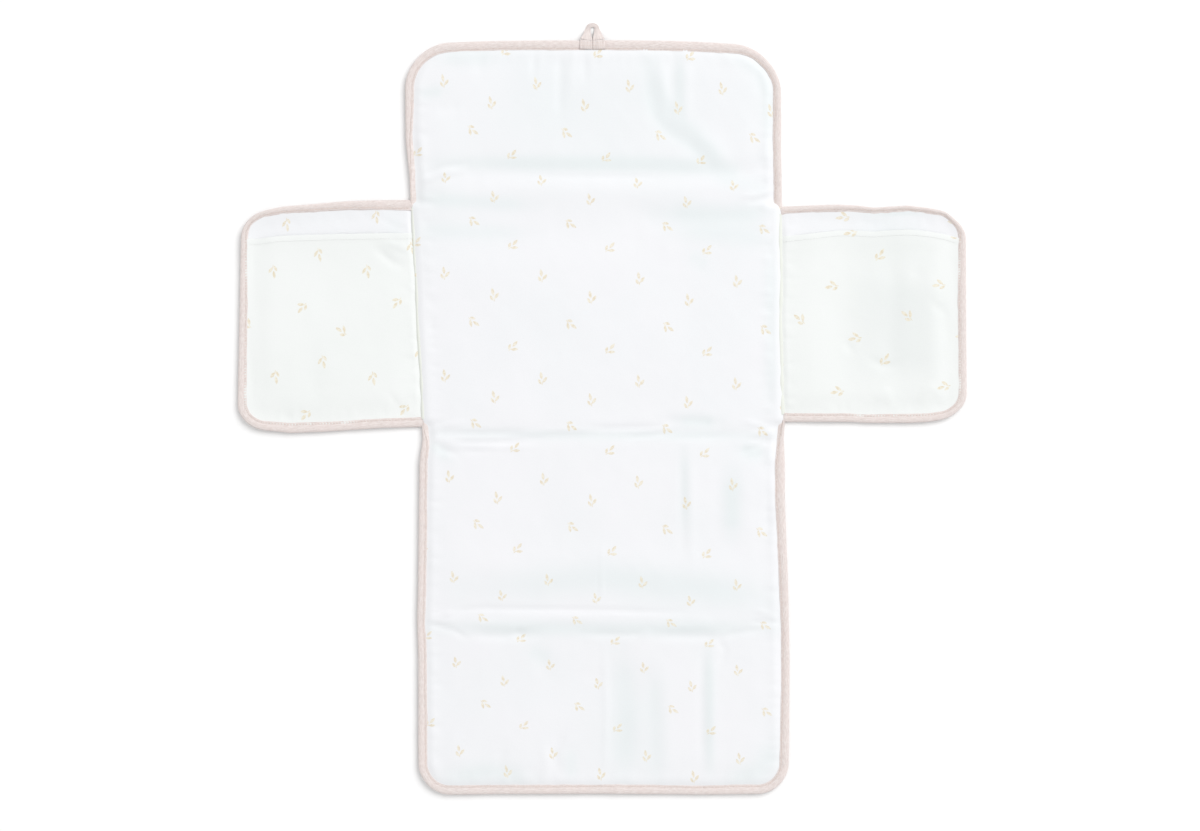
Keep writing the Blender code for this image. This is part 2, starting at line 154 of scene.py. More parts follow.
# How the centre strip lies, as (place along it, sideways shift, change of half width), in mm
STRIP_LIE = np.array([
    (-348, 0.5, -0.5),
    (-226, 0.5, 0.5),
    (-172, 0.0, 0.0),
    (-82, -0.9, -1.8),
    (-48, -0.5, -2.3),
    (-28, 0.4, -4.1),
    (-12, 0.4, -3.2),
    (85, -3.4, -1.8),
    (188, -6.3, 0.8),
    (210, -6.6, 0.9),
    (242, -8.5, 2.2),
    (332, -9.5, 2.2),
])
# How far the top edge of the flap droops towards its left and right corners
FLAP_DROOP = (4.5 * MM, 8 * MM)


def place_strip(x, y):
    """Lays down a flat point of the centre strip. The strip leans to the left towards its flap, is
    pulled in at the lower crease and spreads at the flap."""
    shift, spread = (np.interp(y / MM, STRIP_LIE[:, 0], STRIP_LIE[:, k]) * MM for k in (1, 2))
    share = np.abs(x) / STRIP_HALF
    wave = 0.5 * MM * soft_noise(y, np.sign(x) * 9.0, 38 * MM, 1.0, 5) * smooth(share / 0.8)
    droop = 1 * MM + np.where(x < 0, *FLAP_DROOP) * share**3
    foot_wave = 1.5 * MM + 0.5 * MM * soft_noise(x, 0.0, 45 * MM, 1.0, 6)
    drooped_y = y - droop * smooth((y - DROOP_FROM) / (80 * MM))
    laid_y = drooped_y + foot_wave * smooth((WAVE_FROM - y) / (50 * MM))
    return x * (1 + spread / STRIP_HALF) + shift + wave, laid_y


# Each wing: which side it is on, where its outer edge lies and how much that slants, and the roll along
# its seam, as (place, half width) in mm. Then how far its pocket's print, its upper edge, its pocket's
# mouth and its lower edge are pulled up from flat, as (distance out from the fold line, rise) in mm.
WINGS = {
    "left_wing": {
        "side": -1,
        "end": 326.9 * MM,
        "slant": -1.9 * MM,
        "roll": (0.6, 2.0),
        "pulled": [(0, 0), (90, 0), (110, 3), (131, 7.5), (154, 13)],
        "upper": [(0, 1.4), (50, 0.5), (70, -0.4), (90, -2.2), (124, -4.9), (133, -6.7), (145, -9.2),
                  (163, -10.5)],
        "mouth": [(0, -1.2), (60, -0.6), (100, 1.6), (163, 4.0)],
        "lower": [(0, -0.9), (36, -1.8), (63, -3.6), (90, -5.4), (118, -6.3), (133, -4.6), (152, -2.8),
                  (163, -2.5)],
    },
    "right_wing": {
        "side": 1,
        "end": 326.4 * MM,
        "slant": -0.5 * MM,
        "roll": (0.2, 2.3),
        "pulled": [(0, 0), (163, 0)],
        "upper": [(0, -4.9), (24, -4.0), (51, -3.1), (69, -4.0), (83, -5.8), (96, -4.9), (112, -4.0),
                  (128, -5.8), (145, -9.0), (154, -12.2), (163, -13.0)],
        "mouth": [(0, 0.3), (20, 1.6), (50, 4.4), (90, 6.2), (130, 6.4), (163, 5.4)],
        "lower": [(0, 3.6), (60, 3.6), (75, 2.7), (110, 2.7), (128, 3.4), (145, 6.2), (154, 7.7),
                  (163, 8.0)],
    },
}


def place_wing(name, out, y):
    """Lays down a flat point of a wing, given how far out from the fold line it is."""
    wing = WINGS[name]
    seam_x, _ = place_strip(wing["side"] * FOLD_X + 0 * y, y)
    level = (y - WING_MID_Y) / WING_HALF
    end = wing["end"] + wing["slant"] * level
    x = seam_x + wing["side"] * out * (end - np.abs(seam_x)) / WING_SPAN
    upper, lower = (np.interp(out / MM, *np.array(wing[edge]).T) * MM for edge in ("upper", "lower"))
    return x, y + upper * (1 + level) / 2 + lower * (1 - level) / 2


# Where the rows of the print lie along the strip, as (place, row), how far the cloth is drawn in
# sideways, as (place, share), and how far its columns lean, as (place, shift in mm). The wadding and the
# creases take up more of the cloth in some places.
PRINT_ROWS = np.array([
    (-399.5, -6.0),
    (-309.5, -5.0),
    (-230.3, -4.0),
    (-154.3, -3.0),
    (-63.8, -2.0),
    (26.6, -1.0),
    (118.9, 0.0),
    (166.6, 0.538),
    (205.0, 1.0),
    (226.4, 1.306),
    (320.0, 2.306),
    (410.0, 3.306),
])
PRINT_DRAW = np.array([
    (-320, 0.960),
    (-150, 0.970),
    (-50, 0.972),
    (20, 0.998),
    (119, 1.003),
    (170, 0.993),
    (205, 0.987),
    (228, 0.968),
    (320, 0.946),
])
PRINT_LEAN = np.array([
    (-327, 10.4),
    (-232, 7.2),
    (-155, 5.5),
    (-106, 2.1),
    (-35, 1.2),
    (27, 0.0),
    (146, 0.0),
    (207, -0.6),
    (251, -3.2),
    (294, -5.0),
    (320, -7.8),
])
PRINT_START = -54.6 * MM
PRINT_SLOPE = 0.028
REPEAT = (87.3 * MM, 90.0 * MM)


def print_place(laid_x, laid_y):
    """The place in the print that lies at a laid-down point of the centre strip."""
    row_y = (laid_y + PRINT_SLOPE * (laid_x - PRINT_START)) / MM
    rows = np.interp(row_y, *PRINT_ROWS.T)
    draw, lean = (np.interp(laid_y / MM, *table.T) for table in (PRINT_DRAW, PRINT_LEAN))
    return rows_of((laid_x - PRINT_START - lean * MM) / draw, rows * REPEAT[1])


# ---- Folds and creases ----

FOLD_STRENGTH = 0.75
# Soft folds, each (points in mm, width in mm, height in mm), a valley where the height is negative
STRIP_FOLDS = [
    # gathers and soft folds of the flap
    ([(-63, 324), (-62, 300)], 3.2, -0.8),
    ([(-38, 324), (-39, 262)], 4.0, -0.7),
    ([(-28, 322), (-29, 285)], 4.5, 0.5),
    ([(-17, 324), (-16, 296)], 2.8, -0.7),
    ([(-112, 322), (-110, 302)], 5.0, -0.6),
    ([(36, 316), (42, 285), (47, 262), (57, 250), (72, 242), (88, 228), (98, 214)], 6.5, -0.8),
    ([(50, 314), (56, 285), (64, 262)], 6.0, 0.7),
    ([(82, 250), (98, 236), (112, 220)], 8.0, 0.7),
    ([(61, 314), (61, 254)], 5.0, -0.6),
    ([(74, 316), (75, 258)], 6.0, 0.7),
    ([(140, 312), (146, 280)], 8.0, -1.0),
    ([(-150, 268), (-128, 272)], 6.0, -0.6),
    # the crease between flap and seat: a soft valley, and the low ridge below it
    ([(-160, 215), (-60, 213), (60, 212), (120, 213), (156, 216)], 9.5, -1.4),
    ([(-164, 194), (-60, 196), (50, 194), (155, 196)], 12.0, 0.9),
    ([(-60, 209), (0, 208), (50, 208)], 1.8, -0.5),
    ([(-168, 201), (-147, 211), (-126, 214)], 2.6, 1.1),
    ([(-164, 208), (-142, 218), (-122, 220)], 2.4, -0.7),
    ([(155, 198), (138, 192), (124, 191)], 1.8, 0.8),
    ([(155, 193), (140, 187), (128, 186)], 1.7, -0.8),
    ([(154, 187), (140, 181)], 1.6, 0.7),
    ([(156, 206), (142, 203)], 1.7, -0.6),
    ([(-168, 192), (-150, 189)], 2.0, 0.6),
    ([(-160, 158), (-20, 160), (60, 172)], 20.0, -0.9),
    ([(34, 178), (48, 170), (96, 170), (150, 176)], 9.0, -0.8),
    # the crease between seat and middle panel: fine wrinkles in a shallow valley
    ([(-150, -24), (-60, -25), (60, -20), (150, -24)], 6.0, -1.0),
    ([(-155, -21), (-115, -22), (-74, -21)], 1.9, -1.0),
    ([(-140, -26), (-80, -26)], 1.8, 0.7),
    ([(-132, -30), (-100, -30), (-75, -29)], 1.8, -0.9),
    ([(-128, -34), (-60, -35)], 2.0, 0.6),
    ([(-152, -38), (-100, -38)], 2.4, -0.7),
    ([(-75, -23), (-40, -19), (-5, -20)], 2.0, 0.7),
    ([(-10, -17), (20, -17), (52, -16)], 2.0, -1.0),
    ([(8, -21), (62, -19)], 2.0, 0.7),
    ([(22, -26), (42, -24), (64, -21)], 1.8, -0.9),
    ([(50, -11), (78, -11), (104, -13)], 4.5, -1.1),
    ([(60, -27), (110, -25)], 2.2, -0.6),
    ([(128, -28), (158, -29)], 2.4, -0.9),
    ([(122, -40), (150, -42)], 6.0, -0.8),
    ([(-160, -24), (-143, -15), (-124, -12)], 1.7, 0.9),
    ([(-160, -26), (-142, -37), (-128, -43)], 2.0, -1.0),
    ([(-158, -24), (-130, -32)], 1.7, 0.8),
    ([(157, -24), (141, -15), (126, -11)], 1.7, 0.9),
    ([(157, -25), (138, -35), (124, -38)], 1.9, -1.0),
    ([(156, -23), (134, -22)], 1.5, 0.8),
    # soft folds down the middle panel
    ([(70, -40), (71, -80), (72, -128)], 3.6, -0.45),
    ([(78, -36), (79, -90), (80, -140)], 5.0, 0.5),
    ([(103, -58), (104, -118)], 8.0, -0.5),
    ([(125, -60), (128, -120)], 8.0, 0.4),
    ([(-1, -122), (-1, -172)], 1.3, 0.5),
    ([(150, -54), (147, -120)], 5.0, -0.7),
    ([(-150, -146), (-20, -140), (150, -150)], 17.0, 0.9),
    # the crease between middle and foot panel: a thin valley, a roll of cloth, and its dark far side
    ([(-136, -182), (-110, -179), (-60, -180), (10, -181), (70, -183)], 2.0, -1.1),
    ([(-138, -189), (-40, -188), (30, -190), (110, -190)], 5.5, 0.8),
    ([(-120, -193), (-74, -194), (-56, -192)], 3.4, 0.8),
    ([(-118, -203), (-90, -204), (-58, -203)], 4.0, -1.2),
    ([(-80, -201), (-70, -201)], 3.0, -0.9),
    ([(-20, -202), (24, -203), (34, -202)], 3.0, -1.0),
    ([(48, -195), (85, -193), (98, -194)], 3.4, 0.8),
    ([(46, -204), (85, -204), (104, -205)], 4.2, -1.2),
    ([(108, -204), (128, -200), (156, -198)], 3.0, -0.9),
    ([(-160, -190), (-132, -182)], 1.7, 0.9),
    ([(-160, -192), (-134, -199), (-122, -206)], 2.0, -1.1),
    ([(-158, -191), (-130, -190)], 1.5, 0.9),
    ([(160, -192), (132, -191)], 1.5, -1.0),
    ([(160, -188), (136, -181)], 1.7, 0.8),
    ([(160, -195), (138, -201)], 1.8, 0.7),
    # soft folds down the foot panel
    ([(90, -216), (88, -250), (89, -332)], 4.4, -0.55),
    ([(98, -208), (97, -260), (98, -332)], 5.4, 0.55),
    ([(16, -218), (18, -332)], 10.0, -0.45),
    ([(42, -240), (46, -334)], 7.0, -0.4),
    ([(56, -236), (58, -334)], 7.0, 0.35),
    ([(1, -214), (3, -270), (2, -330)], 3.0, 0.6),
    ([(-36, -290), (-44, -308), (-40, -328)], 5.0, -0.9),
    ([(-54, -300), (-50, -334)], 3.8, 0.4),
    ([(-90, -304), (-92, -332)], 6.0, -0.7),
    ([(-60, -216), (-44, -250)], 8.0, -0.5),
    ([(104, -208), (110, -218), (104, -230)], 3.0, -0.7),
]
WING_FOLDS = {
    "left_wing": [
        ([(-204, 144), (-190, 132), (-174, 126)], 4.0, -1.0),
        ([(-196, 150), (-182, 146), (-172, 140)], 3.0, 0.9),
        ([(-202, 172), (-186, 164), (-172, 160)], 3.4, -0.8),
        ([(-192, 14), (-184, 2), (-182, -8)], 3.5, -0.7),
        ([(-262, 60), (-258, -6)], 9.0, -0.4),
        ([(-236, 172), (-236, 164)], 1.6, -0.7),
    ],
    "right_wing": [
        ([(228, 160), (214, 90), (222, 8)], 18.0, -0.8),
        ([(304, 126), (300, 70), (304, 14)], 16.0, 1.3),
        ([(256, 150), (262, 100), (258, 60), (266, 20)], 9.0, -0.7),
        ([(240, 44), (252, 38), (262, 40)], 4.0, -0.8),
        ([(296, 96), (308, 84), (308, 60)], 4.5, -0.9),
        ([(300, 150), (284, 128), (280, 116)], 6.0, -0.7),
        ([(244, 6), (254, 14), (258, 2)], 4.5, 0.9),
        ([(284, 2), (292, 16), (300, 22)], 5.0, 0.9),
        ([(218, 60), (224, 50)], 4.0, -0.6),
        ([(244, 172), (243, 160)], 3.0, -0.9),
    ],
}

# Painted shade, darker along creases and soft folds and over broad stretches, each (points in mm, width
# in mm, share)
STRIP_PAINTED_SHADE = [
    ([(-120, 275), (120, 275)], 62, 0.45),
    ([(-148, 318), (-95, 316)], 9, 0.8),
    ([(-166, 282), (-143, 286)], 6, 0.7),
    ([(43, 308), (48, 278), (62, 255), (78, 244), (94, 230), (112, 216)], 10, 1.1),
    ([(69, 317), (69, 253)], 5, 0.6),
    ([(-150, 221), (39, 220), (117, 215)], 7, 1.0),
    ([(113, 316), (140, 306), (150, 278), (147, 225)], 7, 0.6),
    ([(95, 207), (130, 202), (152, 196)], 8, 0.6),
    ([(-169, 189), (-118, 186), (-60, 182)], 7, 0.8),
    ([(46, 176), (110, 174), (154, 176)], 10, 0.9),
    ([(-176, 160), (-60, 158)], 8, 0.6),
    ([(60, 160), (120, 156), (150, 152)], 10, 0.7),
    ([(78, 140), (94, 126)], 8, 0.5),
    ([(151, 150), (151, 0)], 6, 0.7),
    ([(66, -11), (103, -12)], 6, 0.8),
    ([(-157, -22), (0, -24), (159, -24)], 5, 0.7),
    ([(-155, -31), (-138, -45)], 5, 0.8),
    ([(122, -36), (145, -42)], 8, 0.9),
    ([(73, -35), (74, -107)], 5, 0.7),
    ([(116, -58), (116, -114)], 9, 1.0),
    ([(-125, -162), (0, -152), (80, -160), (150, -170)], 15, 0.8),
    ([(-165, -196), (0, -198), (156, -197)], 7, 0.9),
    ([(-67, -216), (-46, -226)], 8, 0.6),
    ([(15, -218), (22, -270), (18, -335)], 13, 0.8),
    ([(46, -230), (48, -335)], 9, 0.6),
    ([(95, -215), (96, -328)], 5, 1.0),
    ([(-153, -334), (-100, -326), (-63, -334)], 9, 0.8),
    ([(-30, -306), (-28, -333)], 6, 0.6),
    ([(108, -336), (140, -326), (156, -300)], 11, 0.8),
]
WING_PAINTED_SHADE = {
    "left_wing": [([(-188, 180), (-184, 130)], 9, 0.5)],
    "right_wing": [([(262, 186), (262, 172)], 30, 0.9), ([(268, 128), (264, 75), (272, 20)], 38, 1.0)],
}


def folds_at(x, y, folds):
    """Height that the soft folds give at each laid-down point."""
    total = np.zeros_like(x)
    for points, width, height in folds:
        reach = np.full_like(x, np.inf)
        level = np.zeros_like(x)
        count = len(points) - 1
        for i, (start, end) in enumerate(zip(points, points[1:])):
            a, b = np.array(start) * MM, np.array(end) * MM
            run = b - a
            raw = ((x - a[0]) * run[0] + (y - a[1]) * run[1]) / (run @ run)
            t = np.clip(raw, 0, 1)
            gap = np.hypot(x - a[0] - t * run[0], y - a[1] - t * run[1])
            nearer = gap < reach
            reach = np.where(nearer, gap, reach)
            level = np.where(nearer, (i + t) / count, level)
        taper = 0.35 + 0.65 * smooth(4 * level) * smooth(4 * (1 - level))
        total += FOLD_STRENGTH * height * MM * taper * bump(reach / (width * MM))
    return total


def painted_shade_at(x, y, tones):
    """How much painted shade the cloth takes at each laid-down point, from 0 to 1."""
    return np.clip(folds_at(x, y, tones) / (FOLD_STRENGTH * MM), 0, 1)


def puckers(x, y, inset, seed, depth=0.45 * MM):
    """Little gathers across the binding, where the stitching draws the cloth in."""
    near = bump((inset - BINDING_WIDTH) / (9 * MM))
    across = soft_noise(x, y, 22 * MM, 4.2 * MM, seed) + soft_noise(x, y, 30 * MM, 7.5 * MM, seed + 1)
    along = soft_noise(x, y, 4.2 * MM, 22 * MM, seed + 2) + soft_noise(x, y, 7.5 * MM, 30 * MM, seed + 3)
    return depth * near * across, depth * near * along


def undulation(x, y, seed):
    """The slow unevenness of padding under cloth."""
    slow = 0.55 * MM * soft_noise(x, y, 74 * MM, 62 * MM, seed)
    mid = 0.22 * MM * soft_noise(x, y, 27 * MM, 31 * MM, seed + 1)
    fine = 0.07 * MM * soft_noise(x, y, 9 * MM, 10 * MM, seed + 2)
    return slow + mid + fine


# ---- Outlines ----


def inset_of(across, along, half, low, high, low_radius, high_radius):
    """How far a flat point is inside a rounded rectangle's edge."""
    middle = (low + high) / 2
    radius = np.where(along > middle, high_radius, low_radius)
    past_x = np.abs(across) - (half - radius)
    past_y = np.abs(along - middle) - ((high - low) / 2 - radius)
    outside = np.hypot(np.maximum(past_x, 0), np.maximum(past_y, 0))
    return radius - outside - np.minimum(np.maximum(past_x, past_y), 0)


def stops_between(stops, step):
    """Values through every stop, about step apart."""
    values = [stops[0]]
    for a, b in zip(stops, stops[1:]):
        count = max(1, round((b - a) / step))
        values += [a + (b - a) * i / count for i in range(1, count + 1)]
    return np.array(values)


def panel_rows(stops, low_radius, high_radius, step):
    """Rows along a panel, closer together round its corners, and how much the corners take off its
    half width at each row."""
    low, high = stops[0], stops[-1]
    turns = np.linspace(0, math.pi / 2, 12)[1:]
    inner = [s for s in stops if low + low_radius < s < high - high_radius]
    rows = stops_between([low + low_radius, *inner, high - high_radius], step)
    cut = np.zeros(len(rows))
    if low_radius:
        rows = np.concatenate([low + low_radius * (1 - np.sin(turns[::-1])), rows])
        cut = np.concatenate([low_radius * (1 - np.cos(turns[::-1])), cut])
    if high_radius:
        rows = np.concatenate([rows, high - high_radius * (1 - np.sin(turns))])
        cut = np.concatenate([cut, high_radius * (1 - np.cos(turns))])
    return rows, cut


def grid_faces(rows, columns, flip=False):
    index = np.arange(rows * columns).reshape(rows, columns)
    corners = [index[:-1, :-1], index[:-1, 1:], index[1:, 1:], index[1:, :-1]]
    faces = np.stack([c.ravel() for c in corners], axis=1)
    return faces[:, ::-1] if flip else faces


def tube_faces(rings, around):
    """Quads of a tube of rings, with around points to each."""
    index = np.arange(rings * around).reshape(rings, around)
    following = np.roll(index, -1, axis=1)
    corners = [index[:-1], following[:-1], following[1:], index[1:]]
    return np.stack(corners, axis=-1).reshape(-1, 4)


def u_rail(half, length, radius, stops, step):
    """A U as rows of (across, forward, outward across, outward forward, run): up its left side from
    the first stop, round the far side at length, and back down. stops are places along a side that it
    must pass through."""
    side = stops_between([*[s for s in stops if s < length - radius - step], length - radius], step)
    arc = np.linspace(math.pi, math.pi / 2, max(4, round(radius * math.pi / 2 / step)) + 1)[1:]
    far = stops_between([-(half - radius), half - radius], step)[1:-1]
    left = [(-half, f, -1.0, 0.0) for f in side]
    for a in arc:
        nx, nf = math.cos(a), math.sin(a)
        left.append((-half + radius + radius * nx, length - radius + radius * nf, nx, nf))
    right = [(-x, f, -nx, nf) for x, f, nx, nf in reversed(left)]
    rows = np.array([*left, *((x, length, 0.0, 1.0) for x in far), *right])
    run = np.concatenate([[0], np.cumsum(np.hypot(*np.diff(rows[:, :2], axis=0).T))])
    return np.column_stack([rows, run])


# ---- Materials ----

CLOTH_UV = "Cloth"
# The name of the point attribute that holds each point's share of painted shade
SHADE_ATTRIBUTE = "Tone"


class NodeBench:
    """Adds nodes to one tree. Inputs may be numbers, tuples or other nodes' output sockets."""

    def __init__(self, tree):
        self.tree = tree

    def node(self, kind, inputs=None, **settings):
        made = self.tree.nodes.new(kind)
        for key, value in settings.items():
            setattr(made, key, value)
        for key, value in (inputs or {}).items():
            self.put(made.inputs[key], value)
        return made

    def put(self, socket, value):
        if isinstance(value, bpy.types.NodeSocket):
            self.tree.links.new(value, socket)
        else:
            socket.default_value = value

    def math(self, operation, a, b=0.0):
        return self.node("ShaderNodeMath", {0: a, 1: b}, operation=operation).outputs[0]

    def mix_colour(self, factor, a, b, blend="MIX"):
        made = self.node("ShaderNodeMix", data_type="RGBA", blend_type=blend)
        self.put(made.inputs[0], factor)
        self.put(made.inputs[6], a)
        self.put(made.inputs[7], b)
        return made.outputs[2]

    def noise(self, vector, scale, detail=2.0, roughness=0.5):
        inputs = {"Vector": vector, "Scale": scale, "Detail": detail, "Roughness": roughness}
        return self.node("ShaderNodeTexNoise", inputs).outputs[0]

    def ramp(self, value, low, high, start=0.0, end=1.0):
        made = self.node("ShaderNodeMapRange", interpolation_type="SMOOTHSTEP")
        for key, item in enumerate((value, low, high, start, end)):
            self.put(made.inputs[key], item)
        return made.outputs[0]

    def cloud(self, vector, scale, detail, low, high, start=0.0, end=1.0, roughness=0.5):
        """Noise that goes from start, where it is below low, to end, where it is above high."""
        return self.ramp(self.noise(vector, scale, detail, roughness), low, high, start, end)

    def bump(self, height, strength, distance):
        inputs = {"Strength": strength, "Distance": distance, "Height": height}
        return self.node("ShaderNodeBump", inputs).outputs[0]

    def object_place(self):
        return self.node("ShaderNodeTexCoord").outputs["Object"]


# The sprig: (centre in mm, angle in degrees, half length and half width in mm) of its leaves and stem
SPRIG = [
    ((-0.9, 3.0), 97, (3.5, 1.35)),
    ((2.3, -0.6), 52, (3.3, 1.3)),
    ((-2.3, -2.4), 118, (2.6, 1.25)),
    ((-0.1, -3.9), 88, (1.9, 0.4)),
]
# The sprigs in one repeat of the print, as (place in mm, turn in degrees)
SPRIGS = [((0, 0), 0), ((44.1, -17.7), 4), ((25.2, -41.6), -132), ((61.2, -62.5), -48)]


def new_group(name):
    """An empty node group that turns a vector into a mask."""
    tree = bpy.data.node_groups.new(name, "ShaderNodeTree")
    tree.interface.new_socket("Vector", in_out="INPUT", socket_type="NodeSocketVector")
    tree.interface.new_socket("Mask", in_out="OUTPUT", socket_type="NodeSocketFloat")
    bench = NodeBench(tree)
    return tree, bench, bench.node("NodeGroupInput").outputs[0]


def sprig_group():
    """A node group that draws one sprig round the origin of its vector, which is in metres."""
    tree, bench, vector = new_group("Sprig")
    mask = 0.0
    for centre, turn, size in SPRIG:
        made = bench.node("ShaderNodeMapping", {"Vector": vector}, vector_type="TEXTURE")
        made.inputs["Location"].default_value = (centre[0] * MM, centre[1] * MM, 0)
        made.inputs["Rotation"].default_value = (0, 0, math.radians(turn))
        made.inputs["Scale"].default_value = (size[0] * MM, size[1] * MM, 1)
        parts = bench.node("ShaderNodeSeparateXYZ", {0: made.outputs[0]}).outputs
        edge = bench.math("ADD", bench.math("POWER", parts[0], 2.0), bench.math("ABSOLUTE", parts[1]))
        mask = bench.math("MAXIMUM", mask, bench.ramp(edge, 1.18, 0.8))
    bench.node("NodeGroupOutput", {0: mask})
    return tree


def print_group(sprig):
    """A node group that repeats the sprigs over cloth coordinates, in metres."""
    tree, bench, vector = new_group("SprigPrint")
    half = (REPEAT[0] / 2, REPEAT[1] / 2, 1.0)
    mask = 0.0
    for place, turn in SPRIGS:
        offset = (-place[0] * MM, -place[1] * MM, 0)
        moved = bench.node("ShaderNodeVectorMath", {0: vector, 1: offset}, operation="ADD").outputs[0]
        wrapped = bench.node("ShaderNodeVectorMath", {0: moved, 1: half}, operation="WRAP")
        bench.put(wrapped.inputs[2], tuple(-h for h in half))
        turned = bench.node("ShaderNodeMapping", {"Vector": wrapped.outputs[0]}, vector_type="TEXTURE")
        turned.inputs["Rotation"].default_value = (0, 0, math.radians(turn))
        drawn = bench.node("ShaderNodeGroup", node_tree=sprig)
        bench.put(drawn.inputs[0], turned.outputs[0])
        mask = bench.math("MAXIMUM", mask, drawn.outputs[0])
    bench.node("NodeGroupOutput", {0: mask})
    return tree


def new_material(name, roughness, **sockets):
    material = bpy.data.materials.new(name)
    material.use_nodes = True
    shader = material.node_tree.nodes["Principled BSDF"]
    shader.inputs["Roughness"].default_value = roughness
    for key, value in sockets.items():
        shader.inputs[key.replace("_", " ")].default_value = value
    return material, NodeBench(material.node_tree), shader


def cloth_vector(bench):
    return bench.node("ShaderNodeUVMap", uv_map=CLOTH_UV).outputs[0]


def weave(bench, vector, thread, strength, coarse):
    """Normal of a plain weave whose threads are thread wide, with a coarser height added."""
    parts = bench.node("ShaderNodeSeparateXYZ", {0: vector}).outputs
    slub = bench.math("MULTIPLY", bench.noise(vector, 160.0, 2.0), 2.2)
    waves = []
    for part in parts[:2]:
        phase = bench.math("ADD", bench.math("MULTIPLY", part, math.pi / thread), slub)
        waves.append(bench.math("SINE", phase))
    height = bench.math("ADD", bench.math("MULTIPLY", *waves), coarse)
    return bench.bump(height, strength, 0.1 * MM)


INK_PALE = (0.80, 0.745, 0.60, 1)
INK_DEEP = (0.70, 0.59, 0.40, 1)
TAPE_DARK = (0.681, 0.600, 0.573, 1)
TAPE_LIGHT = (0.813, 0.752, 0.730, 1)
TAPE_PATCH = (0.781, 0.676, 0.650, 1)
BUTTON_DARK = (0.80, 0.66, 0.58, 1)
BUTTON_LIGHT = (0.90, 0.82, 0.76, 1)
FLOOR_DARK = (0.93, 0.93, 0.93, 1)
FLOOR_LIGHT = (0.94, 0.94, 0.94, 1)
# Each kind of printed cloth: its colour, the colour it drifts to, the painted shade tint it is
# multiplied by along creases and folds, how rough it is, how wide its threads are, and other settings of
# its shader
COATED = {
    "base": (0.826, 0.826, 0.846),
    "tint": (0.800, 0.818, 0.832),
    "deep": (0.925, 0.965, 0.953),
    "roughness": 0.42,
    "thread": 0.45 * MM,
    "Specular_IOR_Level": 0.4,
    "Coat_Weight": 0.08,
    "Coat_Roughness": 0.4,
}
COTTON = {
    "base": (0.826, 0.842, 0.833),
    "tint": (0.798, 0.820, 0.806),
    "deep": (0.930, 0.938, 0.940),
    "roughness": 0.85,
    "thread": 0.42 * MM,
    "Specular_IOR_Level": 0.25,
    "Sheen_Weight": 0.1,
}
# The cotton rolled along each wing's seam: more olive, which is its own tint, and darker, which is
# painted shade of the groove along the seam
SHADED_SEAM_COTTON = {**COTTON, "base": (0.765, 0.785, 0.735), "tint": (0.735, 0.755, 0.700)}
# The printed cloths, as (kind, origin in mm, turn in degrees and size of the repeat on it)
PRINTED = {
    "centre_coated": (COATED, (0, 0), 0, (1, 1)),
    "left_wing_coated": (COATED, (-284.5, 170.5), 181, (0.97, 1.05)),
    "right_wing_coated": (COATED, (220.2, 175.4), 92, (1.1, 1.09)),
    "left_wing_cotton": (COTTON, (-207.7, 29.2), 181.5, (0.993, 1.054)),
    "right_wing_cotton": (COTTON, (209.8, 111.1), 92.2, (1.124, 1.045)),
    "seam_cotton": (SHADED_SEAM_COTTON, (160, 96), 40, (1, 1)),
    "outer_cotton": (COTTON, (-120, 300), 1, (1, 1)),
}


def printed_cloth(name, printed, origin, turn, size, base, tint, deep, roughness, thread, **sockets):
    """Cloth with the sprig print. origin, in mm, turn, in degrees, and size place the repeat on it."""
    material, bench, shader = new_material(name, roughness, **sockets)
    vector = cloth_vector(bench)
    laid = bench.node("ShaderNodeMapping", {"Vector": vector}, vector_type="TEXTURE")
    laid.inputs["Location"].default_value = (origin[0] * MM, origin[1] * MM, 0)
    laid.inputs["Rotation"].default_value = (0, 0, math.radians(turn))
    laid.inputs["Scale"].default_value = (*size, 1)
    group = bench.node("ShaderNodeGroup", node_tree=printed)
    bench.put(group.inputs[0], laid.outputs[0])
    broken = bench.cloud(vector, 1300.0, 3.0, 0.30, 0.52, 0.45)
    mask = bench.math("MULTIPLY", group.outputs[0], broken)
    ink = bench.mix_colour(bench.cloud(vector, 420.0, 2.0, 0.35, 0.65), INK_PALE, INK_DEEP)
    slow = bench.cloud(vector, 9.0, 3.0, 0.3, 0.7)
    fine = bench.cloud(vector, 900.0, 2.0, 0.25, 0.75)
    cloth = bench.mix_colour(bench.math("MULTIPLY", slow, 0.55), (*base, 1), (*tint, 1))
    cloth = bench.mix_colour(bench.math("MULTIPLY", fine, 0.10), cloth, (*tint, 1), "MULTIPLY")
    # Painted shade: the cloth is multiplied by its shade tint as far as the point attribute from the
    # shade strokes says
    tone = bench.node("ShaderNodeAttribute", attribute_name=SHADE_ATTRIBUTE).outputs["Fac"]
    cloth = bench.mix_colour(tone, cloth, bench.mix_colour(1.0, cloth, (*deep, 1), "MULTIPLY"))
    colour = bench.mix_colour(bench.math("MULTIPLY", mask, 0.8), cloth, ink)
    bench.put(shader.inputs["Base Color"], colour)
    rough = bench.cloud(vector, 45.0, 3.0, 0.3, 0.7, roughness - 0.05, roughness + 0.06)
    bench.put(shader.inputs["Roughness"], rough)
    wrinkle = bench.math("MULTIPLY", bench.noise(vector, 150.0, 3.0), 2.2)
    bench.put(shader.inputs["Normal"], weave(bench, vector, thread, 0.28, wrinkle))
    return material


